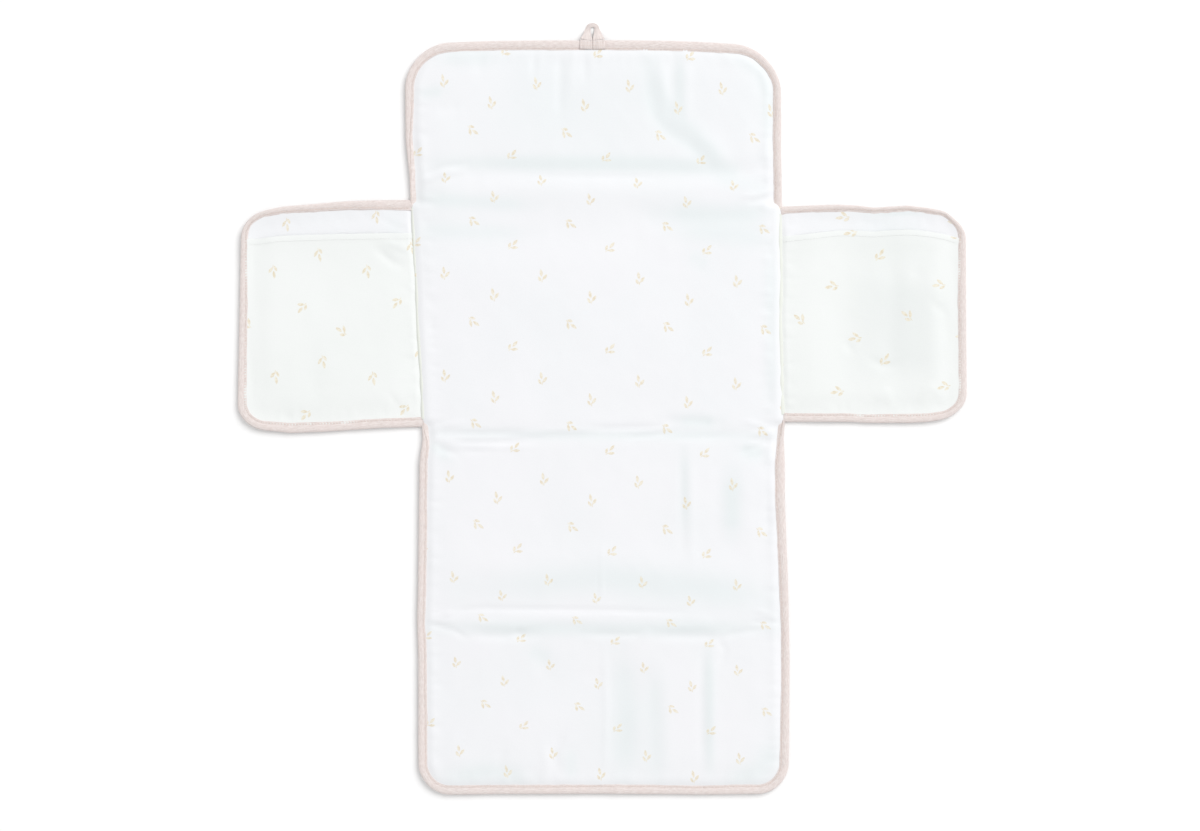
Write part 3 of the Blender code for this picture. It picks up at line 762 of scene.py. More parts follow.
def tape_cloth():
    """The binding: a soft pink plain weave with slubs, in two tones, and slow patches of a third."""
    material, bench, shader = new_material(
        "binding_tape", 0.86, Sheen_Weight=0.25, Sheen_Roughness=0.5, Specular_IOR_Level=0.25
    )
    vector = cloth_vector(bench)
    stretched = bench.node("ShaderNodeMapping", {"Vector": vector}, vector_type="POINT")
    stretched.inputs["Scale"].default_value = (0.35, 1.6, 1)
    slubs = bench.cloud(stretched.outputs[0], 620.0, 4.0, 0.32, 0.68, roughness=0.65)
    patches = bench.cloud(vector, 60.0, 3.0, 0.3, 0.7)
    colour = bench.mix_colour(slubs, TAPE_DARK, TAPE_LIGHT)
    colour = bench.mix_colour(bench.math("MULTIPLY", patches, 0.35), colour, TAPE_PATCH)
    bench.put(shader.inputs["Base Color"], colour)
    coarse = bench.math("MULTIPLY", slubs, 1.6)
    bench.put(shader.inputs["Normal"], weave(bench, vector, 0.42 * MM, 0.55, coarse))
    return material


def thread_cloth(name, colour):
    """Sewing thread, with its twist."""
    material, bench, shader = new_material(name, 0.6, Sheen_Weight=0.2)
    twist = bench.cloud(bench.object_place(), 1600.0, 2.0, 0.35, 0.65)
    dark = tuple(0.86 * c for c in colour)
    bench.put(shader.inputs["Base Color"], bench.mix_colour(twist, (*dark, 1), (*colour, 1)))
    bench.put(shader.inputs["Normal"], bench.bump(twist, 0.4, 0.05 * MM))
    return material


def button_material():
    """A pearly moulded button with faint swirls."""
    material, bench, shader = new_material("button", 0.3, Coat_Weight=0.3, Coat_Roughness=0.15)
    swirl = bench.cloud(bench.object_place(), 140.0, 4.0, 0.3, 0.7, roughness=0.6)
    bench.put(shader.inputs["Base Color"], bench.mix_colour(swirl, BUTTON_DARK, BUTTON_LIGHT))
    bench.put(shader.inputs["Normal"], bench.bump(swirl, 0.15, 0.1 * MM))
    return material


def make_materials():
    printed = print_group(sprig_group())
    made = {}
    for name, (cloth, *laid) in PRINTED.items():
        made[name] = printed_cloth(name, printed, *laid, **cloth)
    made["binding_tape"] = tape_cloth()
    made["thread"] = thread_cloth("thread", (0.80, 0.67, 0.61))
    made["white_thread"] = thread_cloth("white_thread", (0.90, 0.91, 0.90))
    made["button"] = button_material()
    return made


MATERIAL = make_materials()

# ---- Cutting layers into pieces ----


class Zone:
    """A stretch of cloth between two flat places, with the body it rides on, or the two bodies and the
    start and end of the band between them.
    """

    def __init__(self, name, low, high, bodies, start=None, end=None):
        self.name, self.low, self.high, self.bodies = name, low, high, bodies
        self.start, self.end = start, end


def strip_zones():
    """The strip's zones from foot to flap: the panels, and the bands that bend at the fold lines."""
    low_mid, high_mid = (MIDDLE_FOLD_Y + SEAT_LOW_Y) / 2, (SEAT_HIGH_Y + FLAP_FOLD_Y) / 2
    reach = FOLD_REACH

    def panel(name, low, high):
        return Zone(name, low, high, (name,))

    def fold(name, low, high, bodies, line, sign):
        start, end = (line + sign * reach, line - sign * reach)
        return Zone(name, low, high, bodies, (0, start, 0), (0, end, 0))

    foot_high, middle_low = FOOT_FOLD_Y - reach, FOOT_FOLD_Y + reach
    middle_high, seat_low = MIDDLE_FOLD_Y - reach, SEAT_LOW_Y + reach
    seat_high, flap_low = SEAT_HIGH_Y - reach, FLAP_FOLD_Y + reach
    return [
        panel("foot", -FAR, foot_high),
        fold("foot_crease", foot_high, middle_low, ("middle", "foot"), FOOT_FOLD_Y, 1),
        panel("middle", middle_low, middle_high),
        fold("middle_crease", middle_high, low_mid, ("lower_spine", "middle"), MIDDLE_FOLD_Y, 1),
        fold("lower_crease", low_mid, seat_low, ("seat", "lower_spine"), SEAT_LOW_Y, 1),
        panel("seat", seat_low, seat_high),
        fold("upper_crease", seat_high, high_mid, ("seat", "upper_spine"), SEAT_HIGH_Y, -1),
        fold("flap_crease", high_mid, flap_low, ("upper_spine", "flap"), FLAP_FOLD_Y, -1),
        panel("flap", flap_low, FAR),
    ]


def wing_zones(name):
    """The wing's zones: the band next to the seam, and the rest. The band lies crooked, and its start
    and end lie just past all of its inner border and just short of all of its outer one."""
    y = np.linspace(WING_LOW_Y, WING_HIGH_Y, 41)
    inner, outer = (np.array(place_wing(name, out + 0 * y, y)) for out in (0.0, SEAM_REACH))
    along = inner[:, -1] - inner[:, 0]
    outward = WINGS[name]["side"] * np.array([along[1], -along[0]]) / np.hypot(*along)
    middle = inner.mean(axis=1)
    inner_reach, outer_reach = (outward @ (border - middle[:, None]) for border in (inner, outer))
    start = middle + outward * (inner_reach.max() + 0.3 * MM)
    end = middle + outward * (outer_reach.min() - 0.1 * MM)
    return [
        Zone(f"{name}_seam", -FAR, SEAM_REACH, ("seat", name), (*start, 0.0), (*end, 0.0)),
        Zone(name, SEAM_REACH, FAR, (name,)),
    ]


STRIP_ZONES = strip_zones()
STRIP_STOPS = [zone.high for zone in STRIP_ZONES[:-1]]


def vertex_normals(points, faces):
    across = points[faces[:, 2]] - points[faces[:, 0]]
    along = points[faces[:, 3]] - points[faces[:, 1]]
    of_face = np.cross(across, along)
    total = np.zeros_like(points)
    for column in range(4):
        np.add.at(total, faces[:, column], of_face)
    length = np.linalg.norm(total, axis=1, keepdims=True)
    return total / np.maximum(length, 1e-12)


def new_piece(name, points, faces, material):
    """A smooth mesh object, linked to the scene."""
    mesh = bpy.data.meshes.new(name)
    mesh.from_pydata(points, [], faces)
    mesh.materials.append(MATERIAL[material])
    mesh.shade_smooth()
    piece = bpy.data.objects.new(name, mesh)
    bpy.context.scene.collection.objects.link(piece)
    return piece, mesh


def cut_layer(layer, points, faces, uv, place, zones, material, tone=None):
    """Cuts a layer into one piece for each zone by its faces' flat places. A piece whose zone rides on
    one body is hung on it; a piece of a band between two bodies is left where it lies. Returns the
    pieces by zone name."""
    normals = vertex_normals(points, faces)
    middle = place[faces].mean(axis=1)
    made = {}
    for zone in zones:
        chosen = faces[(middle >= zone.low) & (middle < zone.high)]
        if not len(chosen):
            continue
        used, local = np.unique(chosen, return_inverse=True)
        local = local.reshape(chosen.shape)
        piece, mesh = new_piece(f"{zone.name}_{layer}", points[used].tolist(), local.tolist(), material)
        corners = mesh.uv_layers.new(name=CLOTH_UV)
        corners.data.foreach_set("uv", uv[used][local.ravel()].astype(np.float32).ravel())
        # Each point's share of painted shade, for the cloth's material to darken it by
        if tone is not None:
            shares = mesh.attributes.new(SHADE_ATTRIBUTE, "FLOAT", "POINT")
            shares.data.foreach_set("value", tone.ravel()[used].astype(np.float32))
        mesh.normals_split_custom_set_from_vertices(normals[used].tolist())
        if zone.start is None:
            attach(piece, zone.bodies[0])
        else:
            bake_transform(piece)
        made[zone.name] = piece
    return made


# ---- The centre strip ----


def strip_inset(x, y):
    return inset_of(x, y, STRIP_HALF, FOOT_Y, FLAP_Y, FOOT_RADIUS, FLAP_RADIUS)


def strip_lift(x, y):
    """How far the strip's edge curls up off the floor."""
    free = smooth((y - WING_HIGH_Y) / (30 * MM)) + smooth((WING_LOW_Y - y) / (30 * MM))
    curl = EDGE_CURL + 0.5 * soft_noise(x, y, 90 * MM, 80 * MM, 81)
    return free * curl * MM * bump(strip_inset(x, y) / CURL_REACH)


def strip_grid(step):
    stops = [FOOT_Y + STRIP_TUCK, *STRIP_STOPS, FLAP_Y - STRIP_TUCK]
    rows, cut = panel_rows(stops, FOOT_RADIUS - STRIP_TUCK, FLAP_RADIUS - STRIP_TUCK, step)
    share = stops_between([-1.0, 1.0], step / STRIP_HALF)
    x = share[None, :] * (STRIP_HALF - STRIP_TUCK - cut)[:, None]
    y = np.repeat(rows[:, None], len(share), axis=1)
    return x, y


def face_height(x, y):
    """Height of the padded inner face over the floor. It drops steeply where the wings are sewn on."""
    inset = strip_inset(x, y)
    laid_x, laid_y = place_strip(x, y)
    at_wing = smooth((y - WING_LOW_Y) / (6 * MM)) * smooth((WING_HIGH_Y - y) / (6 * MM))
    bound = 2.9 * MM + 2.0 * MM * smooth((inset - 5.5 * MM) / (8 * MM))
    bound = bound + 0.8 * MM * smooth((inset - 8 * MM) / (26 * MM))
    sewn = 3.6 * MM + 1.6 * MM * smooth(inset / (6.5 * MM)) + 0.5 * MM * smooth(inset / (40 * MM))
    plump = bound + (sewn - bound) * at_wing
    quiet = smooth((inset - 7 * MM) / (9 * MM))
    relief = folds_at(laid_x, laid_y, STRIP_FOLDS) + undulation(x, y, 20)
    across, along = puckers(x, y, inset, 30)
    from_side, from_end = STRIP_HALF - np.abs(x), np.minimum(FLAP_Y - y, y - FOOT_Y)
    gathers = np.where(from_side < from_end, across, along)
    height = plump + (relief + gathers) * quiet
    return np.clip(height, LOWEST, TOP_MOST) + strip_lift(x, y)


def strip_layer(layer, x, y, height, material, under):
    """A layer of the strip's cloth: the inner face, or the shell under it, which isn't shifted sideways
    at the button."""
    laid_x, laid_y = place_strip(x, y)
    if under:
        uv, tone = rows_of(x, y), None
        still = bump(np.hypot(x, y - BUTTON_Y) / (60 * MM))
        laid_x = laid_x * (1 - still) + x * still
    else:
        # with the share of painted shade along the strip's creases and folds
        uv, tone = print_place(laid_x, laid_y), painted_shade_at(laid_x, laid_y, STRIP_PAINTED_SHADE)
    points, faces = rows_of(laid_x, laid_y, height), grid_faces(*x.shape, flip=under)
    return cut_layer(layer, points, faces, uv, y.ravel(), STRIP_ZONES, material, tone)


PANELS = ("foot", "middle", "seat", "flap")
SPINES = {"lower_crease": "lower_spine", "flap_crease": "upper_spine"}  # the zone that stands for each


def strip_face():
    x, y = strip_grid(CLOTH_STEP)
    pieces = strip_layer("face", x, y, face_height(x, y), "centre_coated", False)
    for panel in PANELS:
        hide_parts(f"{panel}_inner_face", f"{panel}_wadding")
    for crease, spine in SPINES.items():
        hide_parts(f"{spine}_inner_face", f"{spine}_wadding")


def shell_height(x, y):
    """Height of the outer shell over the floor, with the hollow that the button sits in."""
    inset = strip_inset(x, y)
    tucked = 0.9 * MM * (1 - smooth((inset - 6 * MM) / (8 * MM)))
    ripple = 0.25 * MM * (1 + soft_noise(x, y, 40 * MM, 34 * MM, 44))
    ripple = ripple * smooth((inset - 9 * MM) / (20 * MM))
    from_button = np.hypot(x, y - BUTTON_Y)
    hollow = BUTTON_HOLLOW * (1 - smooth((from_button - BUTTON_CLEAR) / (4.2 * MM)))
    return np.maximum(tucked, 0.02 * MM) + np.maximum(ripple, hollow) + strip_lift(x, y)


def strip_shell():
    x, y = strip_grid(SHELL_STEP)
    pieces = strip_layer("shell", x, y, shell_height(x, y), "outer_cotton", True)
    for panel in PANELS:
        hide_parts(f"{panel}_outer_shell")
    for crease, spine in SPINES.items():
        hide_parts(f"{spine}_outer_shell")


# ---- Binding ----

# Section of the binding from its upper inner edge round the pad's edge to its lower inner edge, as
# (inset in mm, height in mm)
BINDING_SECTION = [
    (9.0, 2.7),
    (8.75, 3.55),
    (8.3, 3.95),
    (7.0, 3.5),
    (5.8, 4.05),
    (4.2, 4.2),
    (2.6, 4.15),
    (1.1, 3.85),
    (0.3, 3.2),
    (0.0, 2.2),
    (0.5, 1.0),
    (1.6, 0.45),
    (4.0, 0.28),
    (7.0, 0.34),
    (8.6, 0.28),
    (8.9, 0.9),
]
# How wide the upper side of each binding shows, as (run in mm from the rail's start, share of full)
SHOWN = {
    "flap": [(0, 0.16), (24, 0.16), (36, 0.33), (64, 0.6), (80, 0.74), (104, 0.86), (168, 0.98),
             (300, 1.06), (420, 1.04), (470, 0.85), (500, 0.74), (560, 0.8), (600, 0.8)],
    "foot": [(0, 0.2), (12, 0.3), (28, 0.82), (70, 0.86), (160, 0.82), (182, 0.74), (200, 0.86),
             (320, 0.95), (500, 1.0), (660, 0.95), (780, 0.86), (800, 0.78), (820, 0.88), (950, 1.04),
             (968, 0.6), (990, 0.2)],
    "left_wing": [(0, 1.0), (150, 1.02), (178, 0.9), (240, 0.9), (330, 0.7), (352, 0.56), (380, 0.6),
                  (440, 0.85), (511, 1.12)],
    "right_wing": [(0, 0.95), (140, 0.95), (170, 0.8), (240, 0.86), (320, 0.8), (348, 0.56), (372, 0.44),
                   (430, 0.5), (480, 0.72), (511, 0.75)],
}
JOIN_RUN = 503 * MM  # where one end of the foot's tape is turned under and lies over the other
JOIN_STEP = 0.55 * MM


def run_noise(run, cell, seed):
    return soft_noise(run, 0.0, cell, 1.0, seed)


def shown_share(part, run):
    wander = 0.05 * run_noise(run, 34 * MM, 51) + 0.025 * run_noise(run, 9 * MM, 52)
    return np.interp(run / MM, *np.array(SHOWN[part]).T) + wander


def binding_swell(run):
    return MM * (0.22 * run_noise(run, 13 * MM, 53) + 0.16 * run_noise(run, 5 * MM, 54))


def binding_points(part, rail, to_flat):
    """Flat places, heights and cloth coordinates of a binding along a rail."""
    section = np.array(BINDING_SECTION) * MM
    run = rail[:, 4][:, None]
    inset, height = section[None, :, 0], section[None, :, 1]
    upper = smooth((height - 2.2 * MM) / (1.2 * MM))
    beat = 0.16 * MM * np.cos(2 * math.pi * run / STITCH_PITCH)
    beat = beat * bump((inset - STITCH_INSET) / (1.5 * MM))
    if part == "foot":
        past_join = run - JOIN_RUN - 0.25 * inset
        step = JOIN_STEP * upper * smooth(past_join / (0.7 * MM))
        height = height + step * smooth(1 - past_join / (14 * MM))
    height = height + upper * (binding_swell(run) - beat)
    inset = inset * (1 + (shown_share(part, run) - 1) * upper)
    ends = smooth((np.minimum(run, rail[-1, 4] - run) + 0.8 * MM) / (4 * MM))
    height = BINDING_MIDDLE + (height - BINDING_MIDDLE) * (0.3 + 0.7 * ends)
    across = rail[:, 0][:, None] - rail[:, 2][:, None] * inset
    forward = rail[:, 1][:, None] - rail[:, 3][:, None] * inset
    girth = np.concatenate([[0], np.cumsum(np.hypot(*np.diff(section, axis=0).T))])
    uv = rows_of(*np.broadcast_arrays(run, girth[None, :]))
    flat_x, flat_y = to_flat(across, forward)
    return flat_x, flat_y, height, uv


# The rings of a stitch, as (place along it, share of its radius), and how many points are in each
STITCH_RINGS = [(0.0, 0.25), (0.12, 0.8), (0.5, 1.1), (0.88, 0.8), (1.0, 0.25)]
STITCH_SIDES = 6
STITCH_POINTS = STITCH_SIDES * len(STITCH_RINGS)
# Each end of a stitch is closed by two quads
STITCH_CAPS = [[3, 2, 1, 0], [5, 4, 3, 0], [24, 25, 26, 27], [24, 27, 28, 29]]


def stitch_row(starts, ends, ups, radius=STITCH_RADIUS):
    """Closed six-sided spindles from starts to ends, as (points, quads, uv)."""
    along = ends - starts
    length = np.linalg.norm(along, axis=1, keepdims=True)
    along = along / length
    side = np.cross(along, ups)
    side /= np.linalg.norm(side, axis=1, keepdims=True)
    up = np.cross(side, along)
    rings, flat = [], []
    for t, share in STITCH_RINGS:
        centre = starts + along * length * t + up * radius * (math.sin(math.pi * t) - 0.45)
        for k in range(STITCH_SIDES):
            a = math.tau * k / STITCH_SIDES
            rings.append(centre + radius * share * (side * math.cos(a) + up * math.sin(a)))
            flat.append([t * STITCH_LENGTH, k * 0.2 * MM])
    points = np.stack(rings, axis=1)
    quads = np.concatenate([tube_faces(len(STITCH_RINGS), STITCH_SIDES), STITCH_CAPS])
    count = len(starts)
    faces = (quads[None] + STITCH_POINTS * np.arange(count)[:, None, None]).reshape(-1, 4)
    return points.reshape(-1, 3), faces, np.tile(np.array(flat), (count, 1))


def dashes(run_low, run_high):
    """(start, end) of each stitch along a run."""
    count = int((run_high - run_low) / STITCH_PITCH)
    begin = run_low + (np.arange(count) + 0.5) * (run_high - run_low) / count
    return begin - STITCH_LENGTH / 2, begin + STITCH_LENGTH / 2


def along_rail(rail, runs, inset):
    """Rail places at the given runs, inset from the edge."""
    columns = [np.interp(runs, rail[:, 4], rail[:, k]) for k in range(4)]
    size = np.hypot(columns[2], columns[3])
    return columns[0] - columns[2] / size * inset, columns[1] - columns[3] / size * inset


def edge_stitches(part, rail, to_flat, lay, lift, upper):
    """The row of stitches that holds the binding, seen from above or from below."""
    begin, end = dashes(rail[0, 4] + 5 * MM, rail[-1, 4] - 5 * MM)
    if not upper:
        begin, end = begin + STITCH_PITCH / 2, end + STITCH_PITCH / 2
    inset = STITCH_INSET * (shown_share(part, (begin + end) / 2) if upper else 1.0)
    height = STITCH_TOP if upper else STITCH_UNDER
    swell = binding_swell(begin) if upper else 0.0
    flats, sides = [], []
    for runs in (begin, end):
        flat = to_flat(*along_rail(rail, runs, inset))
        flats.append(flat)
        sides.append(rows_of(*lay(*flat), height + lift(*flat) + swell))
    ups = np.tile([0.0, 0.0, 1.0 if upper else -1.0], (len(begin), 1))
    middles = [np.repeat((low + high) / 2, STITCH_POINTS) for low, high in zip(*flats)]
    return *stitch_row(*sides, ups), middles


def bind(part, rail, to_flat, lay, lift, zones, axis, flip):
    """The binding along a rail, and its two rows of stitches. The zones cut them by their flat places
    across (axis 0) or along (axis 1). Returns the binding's pieces by zone name."""
    flat_x, flat_y, height, uv = binding_points(part, rail, to_flat)
    points = rows_of(*lay(flat_x, flat_y), height + lift(flat_x, flat_y))
    faces = grid_faces(*flat_x.shape, flip=flip)
    place = (flat_x, flat_y)[axis].ravel()
    pieces = cut_layer("binding", points, faces, uv, place, zones, "binding_tape")
    for upper, word in ((True, "stitches"), (False, "under_stitches")):
        points, faces, uv, middles = edge_stitches(part, rail, to_flat, lay, lift, upper)
        cut_layer(word, points, faces, uv, middles[axis], zones, "thread")
    return pieces


RAIL_OVERLAP = 8 * MM  # how far the strip's bindings run on past the ends of the wings' bindings


def strip_rails():
    """The two stretches of binding: round the foot up to the wings, and round the flap down to them."""
    foot_start, flap_start = WING_LOW_Y + RAIL_OVERLAP, WING_HIGH_Y - RAIL_OVERLAP
    foot_stops = [0.0, *sorted(foot_start - s for s in STRIP_STOPS if s < foot_start)]
    flap_stops = [0.0, *sorted(s - flap_start for s in STRIP_STOPS if s > flap_start)]
    step = STITCH_PITCH / 2
    return {
        "foot": (
            u_rail(STRIP_HALF, foot_start - FOOT_Y, FOOT_RADIUS, foot_stops, step),
            lambda across, forward: (across, foot_start - forward),
            False,
        ),
        "flap": (
            u_rail(STRIP_HALF, FLAP_Y - flap_start, FLAP_RADIUS, flap_stops, step),
            lambda across, forward: (across, flap_start + forward),
            True,
        ),
    }


def strip_binding():
    stand_for = {
        "foot": ["foot_binding"],
        "middle": ["middle_binding_left", "middle_binding_right"],
        "middle_crease": ["lower_spine_binding_left", "lower_spine_binding_right"],
        "seat": ["seat_binding_left", "seat_binding_right"],
        "upper_crease": ["upper_spine_binding_left", "upper_spine_binding_right"],
        "flap": ["flap_binding"],
    }
    for part, (rail, to_flat, flip) in strip_rails().items():
        pieces = bind(part, rail, to_flat, place_strip, strip_lift, STRIP_ZONES, 1, flip)
        for zone, piece in pieces.items():
            if zone in stand_for:
                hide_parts(*stand_for[zone])


# ---- Wings ----


def wing_inset(out, y):
    """How far a flat point of a wing is from its bound edges. The sewn edge doesn't count."""
    return inset_of(y - WING_MID_Y, out, WING_HALF, -WING_SPAN, WING_SPAN, WING_RADIUS, WING_RADIUS)


def wing_lift(out, y):
    """How far a wing's edge curls up off the floor."""
    curl = EDGE_CURL + 0.8 * soft_noise(out, y, 80 * MM, 90 * MM, 83)
    return smooth((out - 4 * MM) / (36 * MM)) * curl * MM * bump(wing_inset(out, y) / CURL_REACH)


def wing_grid(step, top_y=None):
    """(out, y) of a wing's cloth, or of its pocket, which ends at top_y."""
    stops = [WING_START, *SEAM_STOPS, WING_SPAN - WING_TUCK]
    radius = WING_RADIUS - WING_TUCK
    rows, cut = panel_rows(stops, 0, radius, step)
    low = WING_LOW_Y + WING_TUCK + cut
    high = WING_HIGH_Y - WING_TUCK - cut if top_y is None else np.full(len(rows), top_y)
    share = stops_between([0.0, 1.0], step / (2 * WING_HALF))
    y = low[:, None] + share[None, :] * (high - low)[:, None]
    out = np.repeat(rows[:, None], len(share), axis=1)
    return out, y


def lining_height(name, out, y):
    inset = wing_inset(out, y)
    x, laid_y = place_wing(name, out, y)
    seam = smooth((out - WING_START) / (7 * MM))
    plump = 2.5 * MM + seam * (0.7 * MM + 0.9 * MM * smooth((inset - 8 * MM) / (20 * MM)))
    quiet = smooth((inset - 7 * MM) / (9 * MM)) * smooth((out - 1 * MM) / (8 * MM))
    relief = 0.6 * folds_at(x, laid_y, WING_FOLDS[name]) + 0.7 * undulation(x, laid_y, 60)
    _, along = puckers(x, laid_y, inset, 64, 0.32 * MM)
    gathers = 0.35 * MM * soft_noise(x, laid_y, 12 * MM, 4.5 * MM, 66) * bump((out - 5 * MM) / (9 * MM))
    return plump + (relief + along) * quiet + gathers * seam + wing_lift(out, y)


def wing_shell_height(out, y):
    rise = 0.25 * MM + 0.55 * MM * (1 - smooth((wing_inset(out, y) - 6 * MM) / (8 * MM)))
    ripple = 0.2 * MM * soft_noise(out, y, 30 * MM, 34 * MM, 61)
    return np.maximum(rise + ripple, 0.05 * MM) + wing_lift(out, y)


def pocket_height(name, out, y, mouth):
    inset = wing_inset(out, y)
    x, laid_y = place_wing(name, out, y)
    slack = smooth((inset - 8 * MM) / (26 * MM)) * smooth((out - 4 * MM) / (26 * MM))
    relief = 0.75 * folds_at(x, laid_y, WING_FOLDS[name]) + 0.6 * undulation(x, laid_y, 70)
    _, along = puckers(x, laid_y, inset, 74, 0.3 * MM)
    hem = 0.2 * MM * smooth((y - mouth + HEM_RIDGE) / (1.6 * MM))
    gape = 0.6 * MM * bump((mouth - y) / (14 * MM)) * slack
    base = lining_height(name, out, y) + 0.35 * MM
    return base + 1.0 * MM * slack + (relief + along) * slack + hem + gape


def build_wing(name):
    side = WINGS[name]["side"]
    zones = wing_zones(name)
    facing_up = side < 0  # whether the faces of a grid of its rows face up without being flipped

    def lay(out, y):
        return place_wing(name, out, y)

    def cut(layer, out, y, height, material, slot, flip):
        x, laid_y = lay(out, y)
        points, faces = rows_of(x, laid_y, height), grid_faces(*out.shape, flip=flip)
        pulled = 0.0
        if layer == "pocket":
            pulled = np.interp(out / MM, *np.array(WINGS[name]["pulled"]).T) * MM
        uv = rows_of(side * (FOLD_X + out), y - pulled)
        # the share of painted shade on the wing's cloth, along its folds and over broad stretches of the
        # right pocket
        tone = painted_shade_at(x, laid_y, WING_PAINTED_SHADE[name])
        return cut_layer(layer, points, faces, uv, out.ravel(), zones, material, tone)

    out, y = wing_grid(CLOTH_STEP)
    height = lining_height(name, out, y)
    lining = cut("lining", out, y, height, f"{name}_coated", "coated_print", not facing_up)
    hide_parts(f"{name}_lining", f"{name}_wadding")
    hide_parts(f"seat_{name}_seam")
    height = wing_shell_height(out, y)
    shell = cut("shell", out, y, height, "outer_cotton", "cotton_print", facing_up)
    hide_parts(f"{name}_outer_shell")
    build_pocket(name, cut, facing_up)
    build_seam_roll(name, cut, facing_up)
    build_wing_binding(name, zones, lay, facing_up)


def build_pocket(name, cut, facing_up):
    out, y = wing_grid(CLOTH_STEP, POCKET_TOP_Y - 0.3 * MM)
    rise = np.interp(out / MM, *np.array(WINGS[name]["mouth"]).T) * MM
    y = y + rise * smooth((y - WING_MID_Y) / (60 * MM))
    mouth = y[:, -1:]
    height = pocket_height(name, out, y, mouth)
    turn_in = [(0.35, -0.25), (0.2, -0.75), (-2.0, -0.95), (-HEM / MM, -0.9)]
    rolled_y = np.concatenate([y, *[mouth + step * MM for step, _ in turn_in]], axis=1)
    rolled_z = np.concatenate([height, *[height[:, -1:] + drop * MM for _, drop in turn_in]], axis=1)
    rolled_out = np.concatenate([out, *[out[:, -1:]] * len(turn_in)], axis=1)
    material = f"{name}_cotton"
    pieces = cut("pocket", rolled_out, rolled_y, rolled_z, material, "cotton_print", not facing_up)
    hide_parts(f"{name}_pocket")
    hem_stitches(name, mouth[:, 0], out[:, 0])


def build_seam_roll(name, cut, facing_up):
    """The pocket's side hem, rolled up along the seam."""
    centre, half = WINGS[name]["roll"]
    turns = np.linspace(math.pi, 0, 11)
    along = stops_between([WING_LOW_Y + 7 * MM, WING_HIGH_Y - 7 * MM], CLOTH_STEP)
    wander = 0.4 * MM * run_noise(along, 26 * MM, 91)
    swell = 1 + 0.16 * run_noise(along, 11 * MM, 92)
    out = centre * MM + wander + half * MM * swell * np.cos(turns)[:, None]
    y = np.repeat(along[None, :], len(turns), axis=0)
    height = ROLL_FOOT + ROLL_RISE * swell * np.sin(turns)[:, None]
    # Its darker cloth is painted shade of the groove along the seam, over the cotton's own olive tint
    cut("roll", out, y, height, "seam_cotton", "cotton_print", not facing_up)


def hem_stitches(name, mouth, outs):
    """The row of stitches that holds the pocket's hem."""
    begin, end = dashes(2 * MM, WING_SPAN - BINDING_WIDTH - 1 * MM)
    sides = []
    for run in (begin, end):
        top = np.interp(run, outs, mouth)
        y = top - HEM_STITCHES
        height = pocket_height(name, run, y, top) + 0.12 * MM
        sides.append(rows_of(*place_wing(name, run, y), height))
    ups = np.tile([0.0, 0.0, 1.0], (len(begin), 1))
    points, faces, uv = stitch_row(*sides, ups, 0.2 * MM)
    flat = np.repeat((begin + end) / 2, STITCH_POINTS)
    cut_layer("hem_stitches", points, faces, uv, flat, wing_zones(name), "white_thread")


def build_wing_binding(name, zones, lay, facing_up):
    stops = [0.0, *(SEAM_STOPS - WING_RAIL_START)]
    rail = u_rail(WING_HALF, WING_SPAN - WING_RAIL_START, WING_RADIUS, stops, STITCH_PITCH / 2)

    def to_flat(across, forward):
        return forward + WING_RAIL_START, WING_MID_Y + across

    pieces = bind(name, rail, to_flat, lay, wing_lift, zones, 0, facing_up)
    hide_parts(f"{name}_binding")


# ---- Loop ----

LOOP_TAPE = 0.9 * MM  # the tape's thickness
LOOP_OVER = 4.3 * MM  # how high the tape's middle lies where it is on the binding, and on the floor
LOOP_DOWN = 0.65 * MM
LOOP_STITCH_ROWS = (-7.4 * MM, -4.9 * MM, -2.4 * MM)
LOOP_STITCH_PITCH = 1.9 * MM
LOOP_STITCH_LENGTH = 1.5 * MM
# Upper half of the tape's section, as (share of its half width, share of its thickness), with a ditch
# beside each edge
TAPE_SECTION = [(-1, 0), (-0.93, 0.44), (-0.66, 0.5), (-0.6, 0.3), (-0.54, 0.5), (0, 0.46), (0.54, 0.5)]
TAPE_SECTION += [(0.6, 0.3), (0.66, 0.5), (0.93, 0.44), (1, 0)]
# The loop's edges, as (distance past the flap's edge, outer edge, inner edge) from its middle, in mm
LOOP_EDGES = np.array([
    (-8.1, 11.8, 0.0),
    (0.0, 11.0, 0.0),
    (2.0, 10.1, 0.1),
    (5.0, 8.6, 0.9),
    (8.0, 7.4, 1.5),
    (11.4, 5.8, 1.5),
])
EYE_TOP = 0.8 * MM  # how far the eye's round top rises, and below it the tip, over the last of the legs
TIP_RISE = 4.6 * MM


def loop_height(forward):
    """Height of the tape: over the binding, and down to the floor past the flap's edge."""
    dip = 0.9 * MM * float(smooth((-5.5 * MM - forward) / (2.6 * MM)))
    over = LOOP_OVER + float(strip_lift(0.0, FLAP_Y)) - dip
    return over + (LOOP_DOWN - over) * float(smooth((forward - 0.5 * MM) / (10 * MM)))


def tape_station(inner, outer):
    """(centre, half width, way from the outer edge to the inner one) of the tape."""
    inner, outer = Vector(inner), Vector(outer)
    return (inner + outer) / 2, (inner - outer).length / 2, (inner - outer).normalized()


def loop_leg(side, forwards):
    stations = []
    for forward in forwards:
        past = forward / MM
        outer, inner = (float(np.interp(past, LOOP_EDGES[:, 0], LOOP_EDGES[:, k])) * MM for k in (1, 2))
        y, z = FLAP_Y + forward, loop_height(forward)
        stations.append(tape_station((side * inner, y, z), (side * outer, y, z)))
    return stations


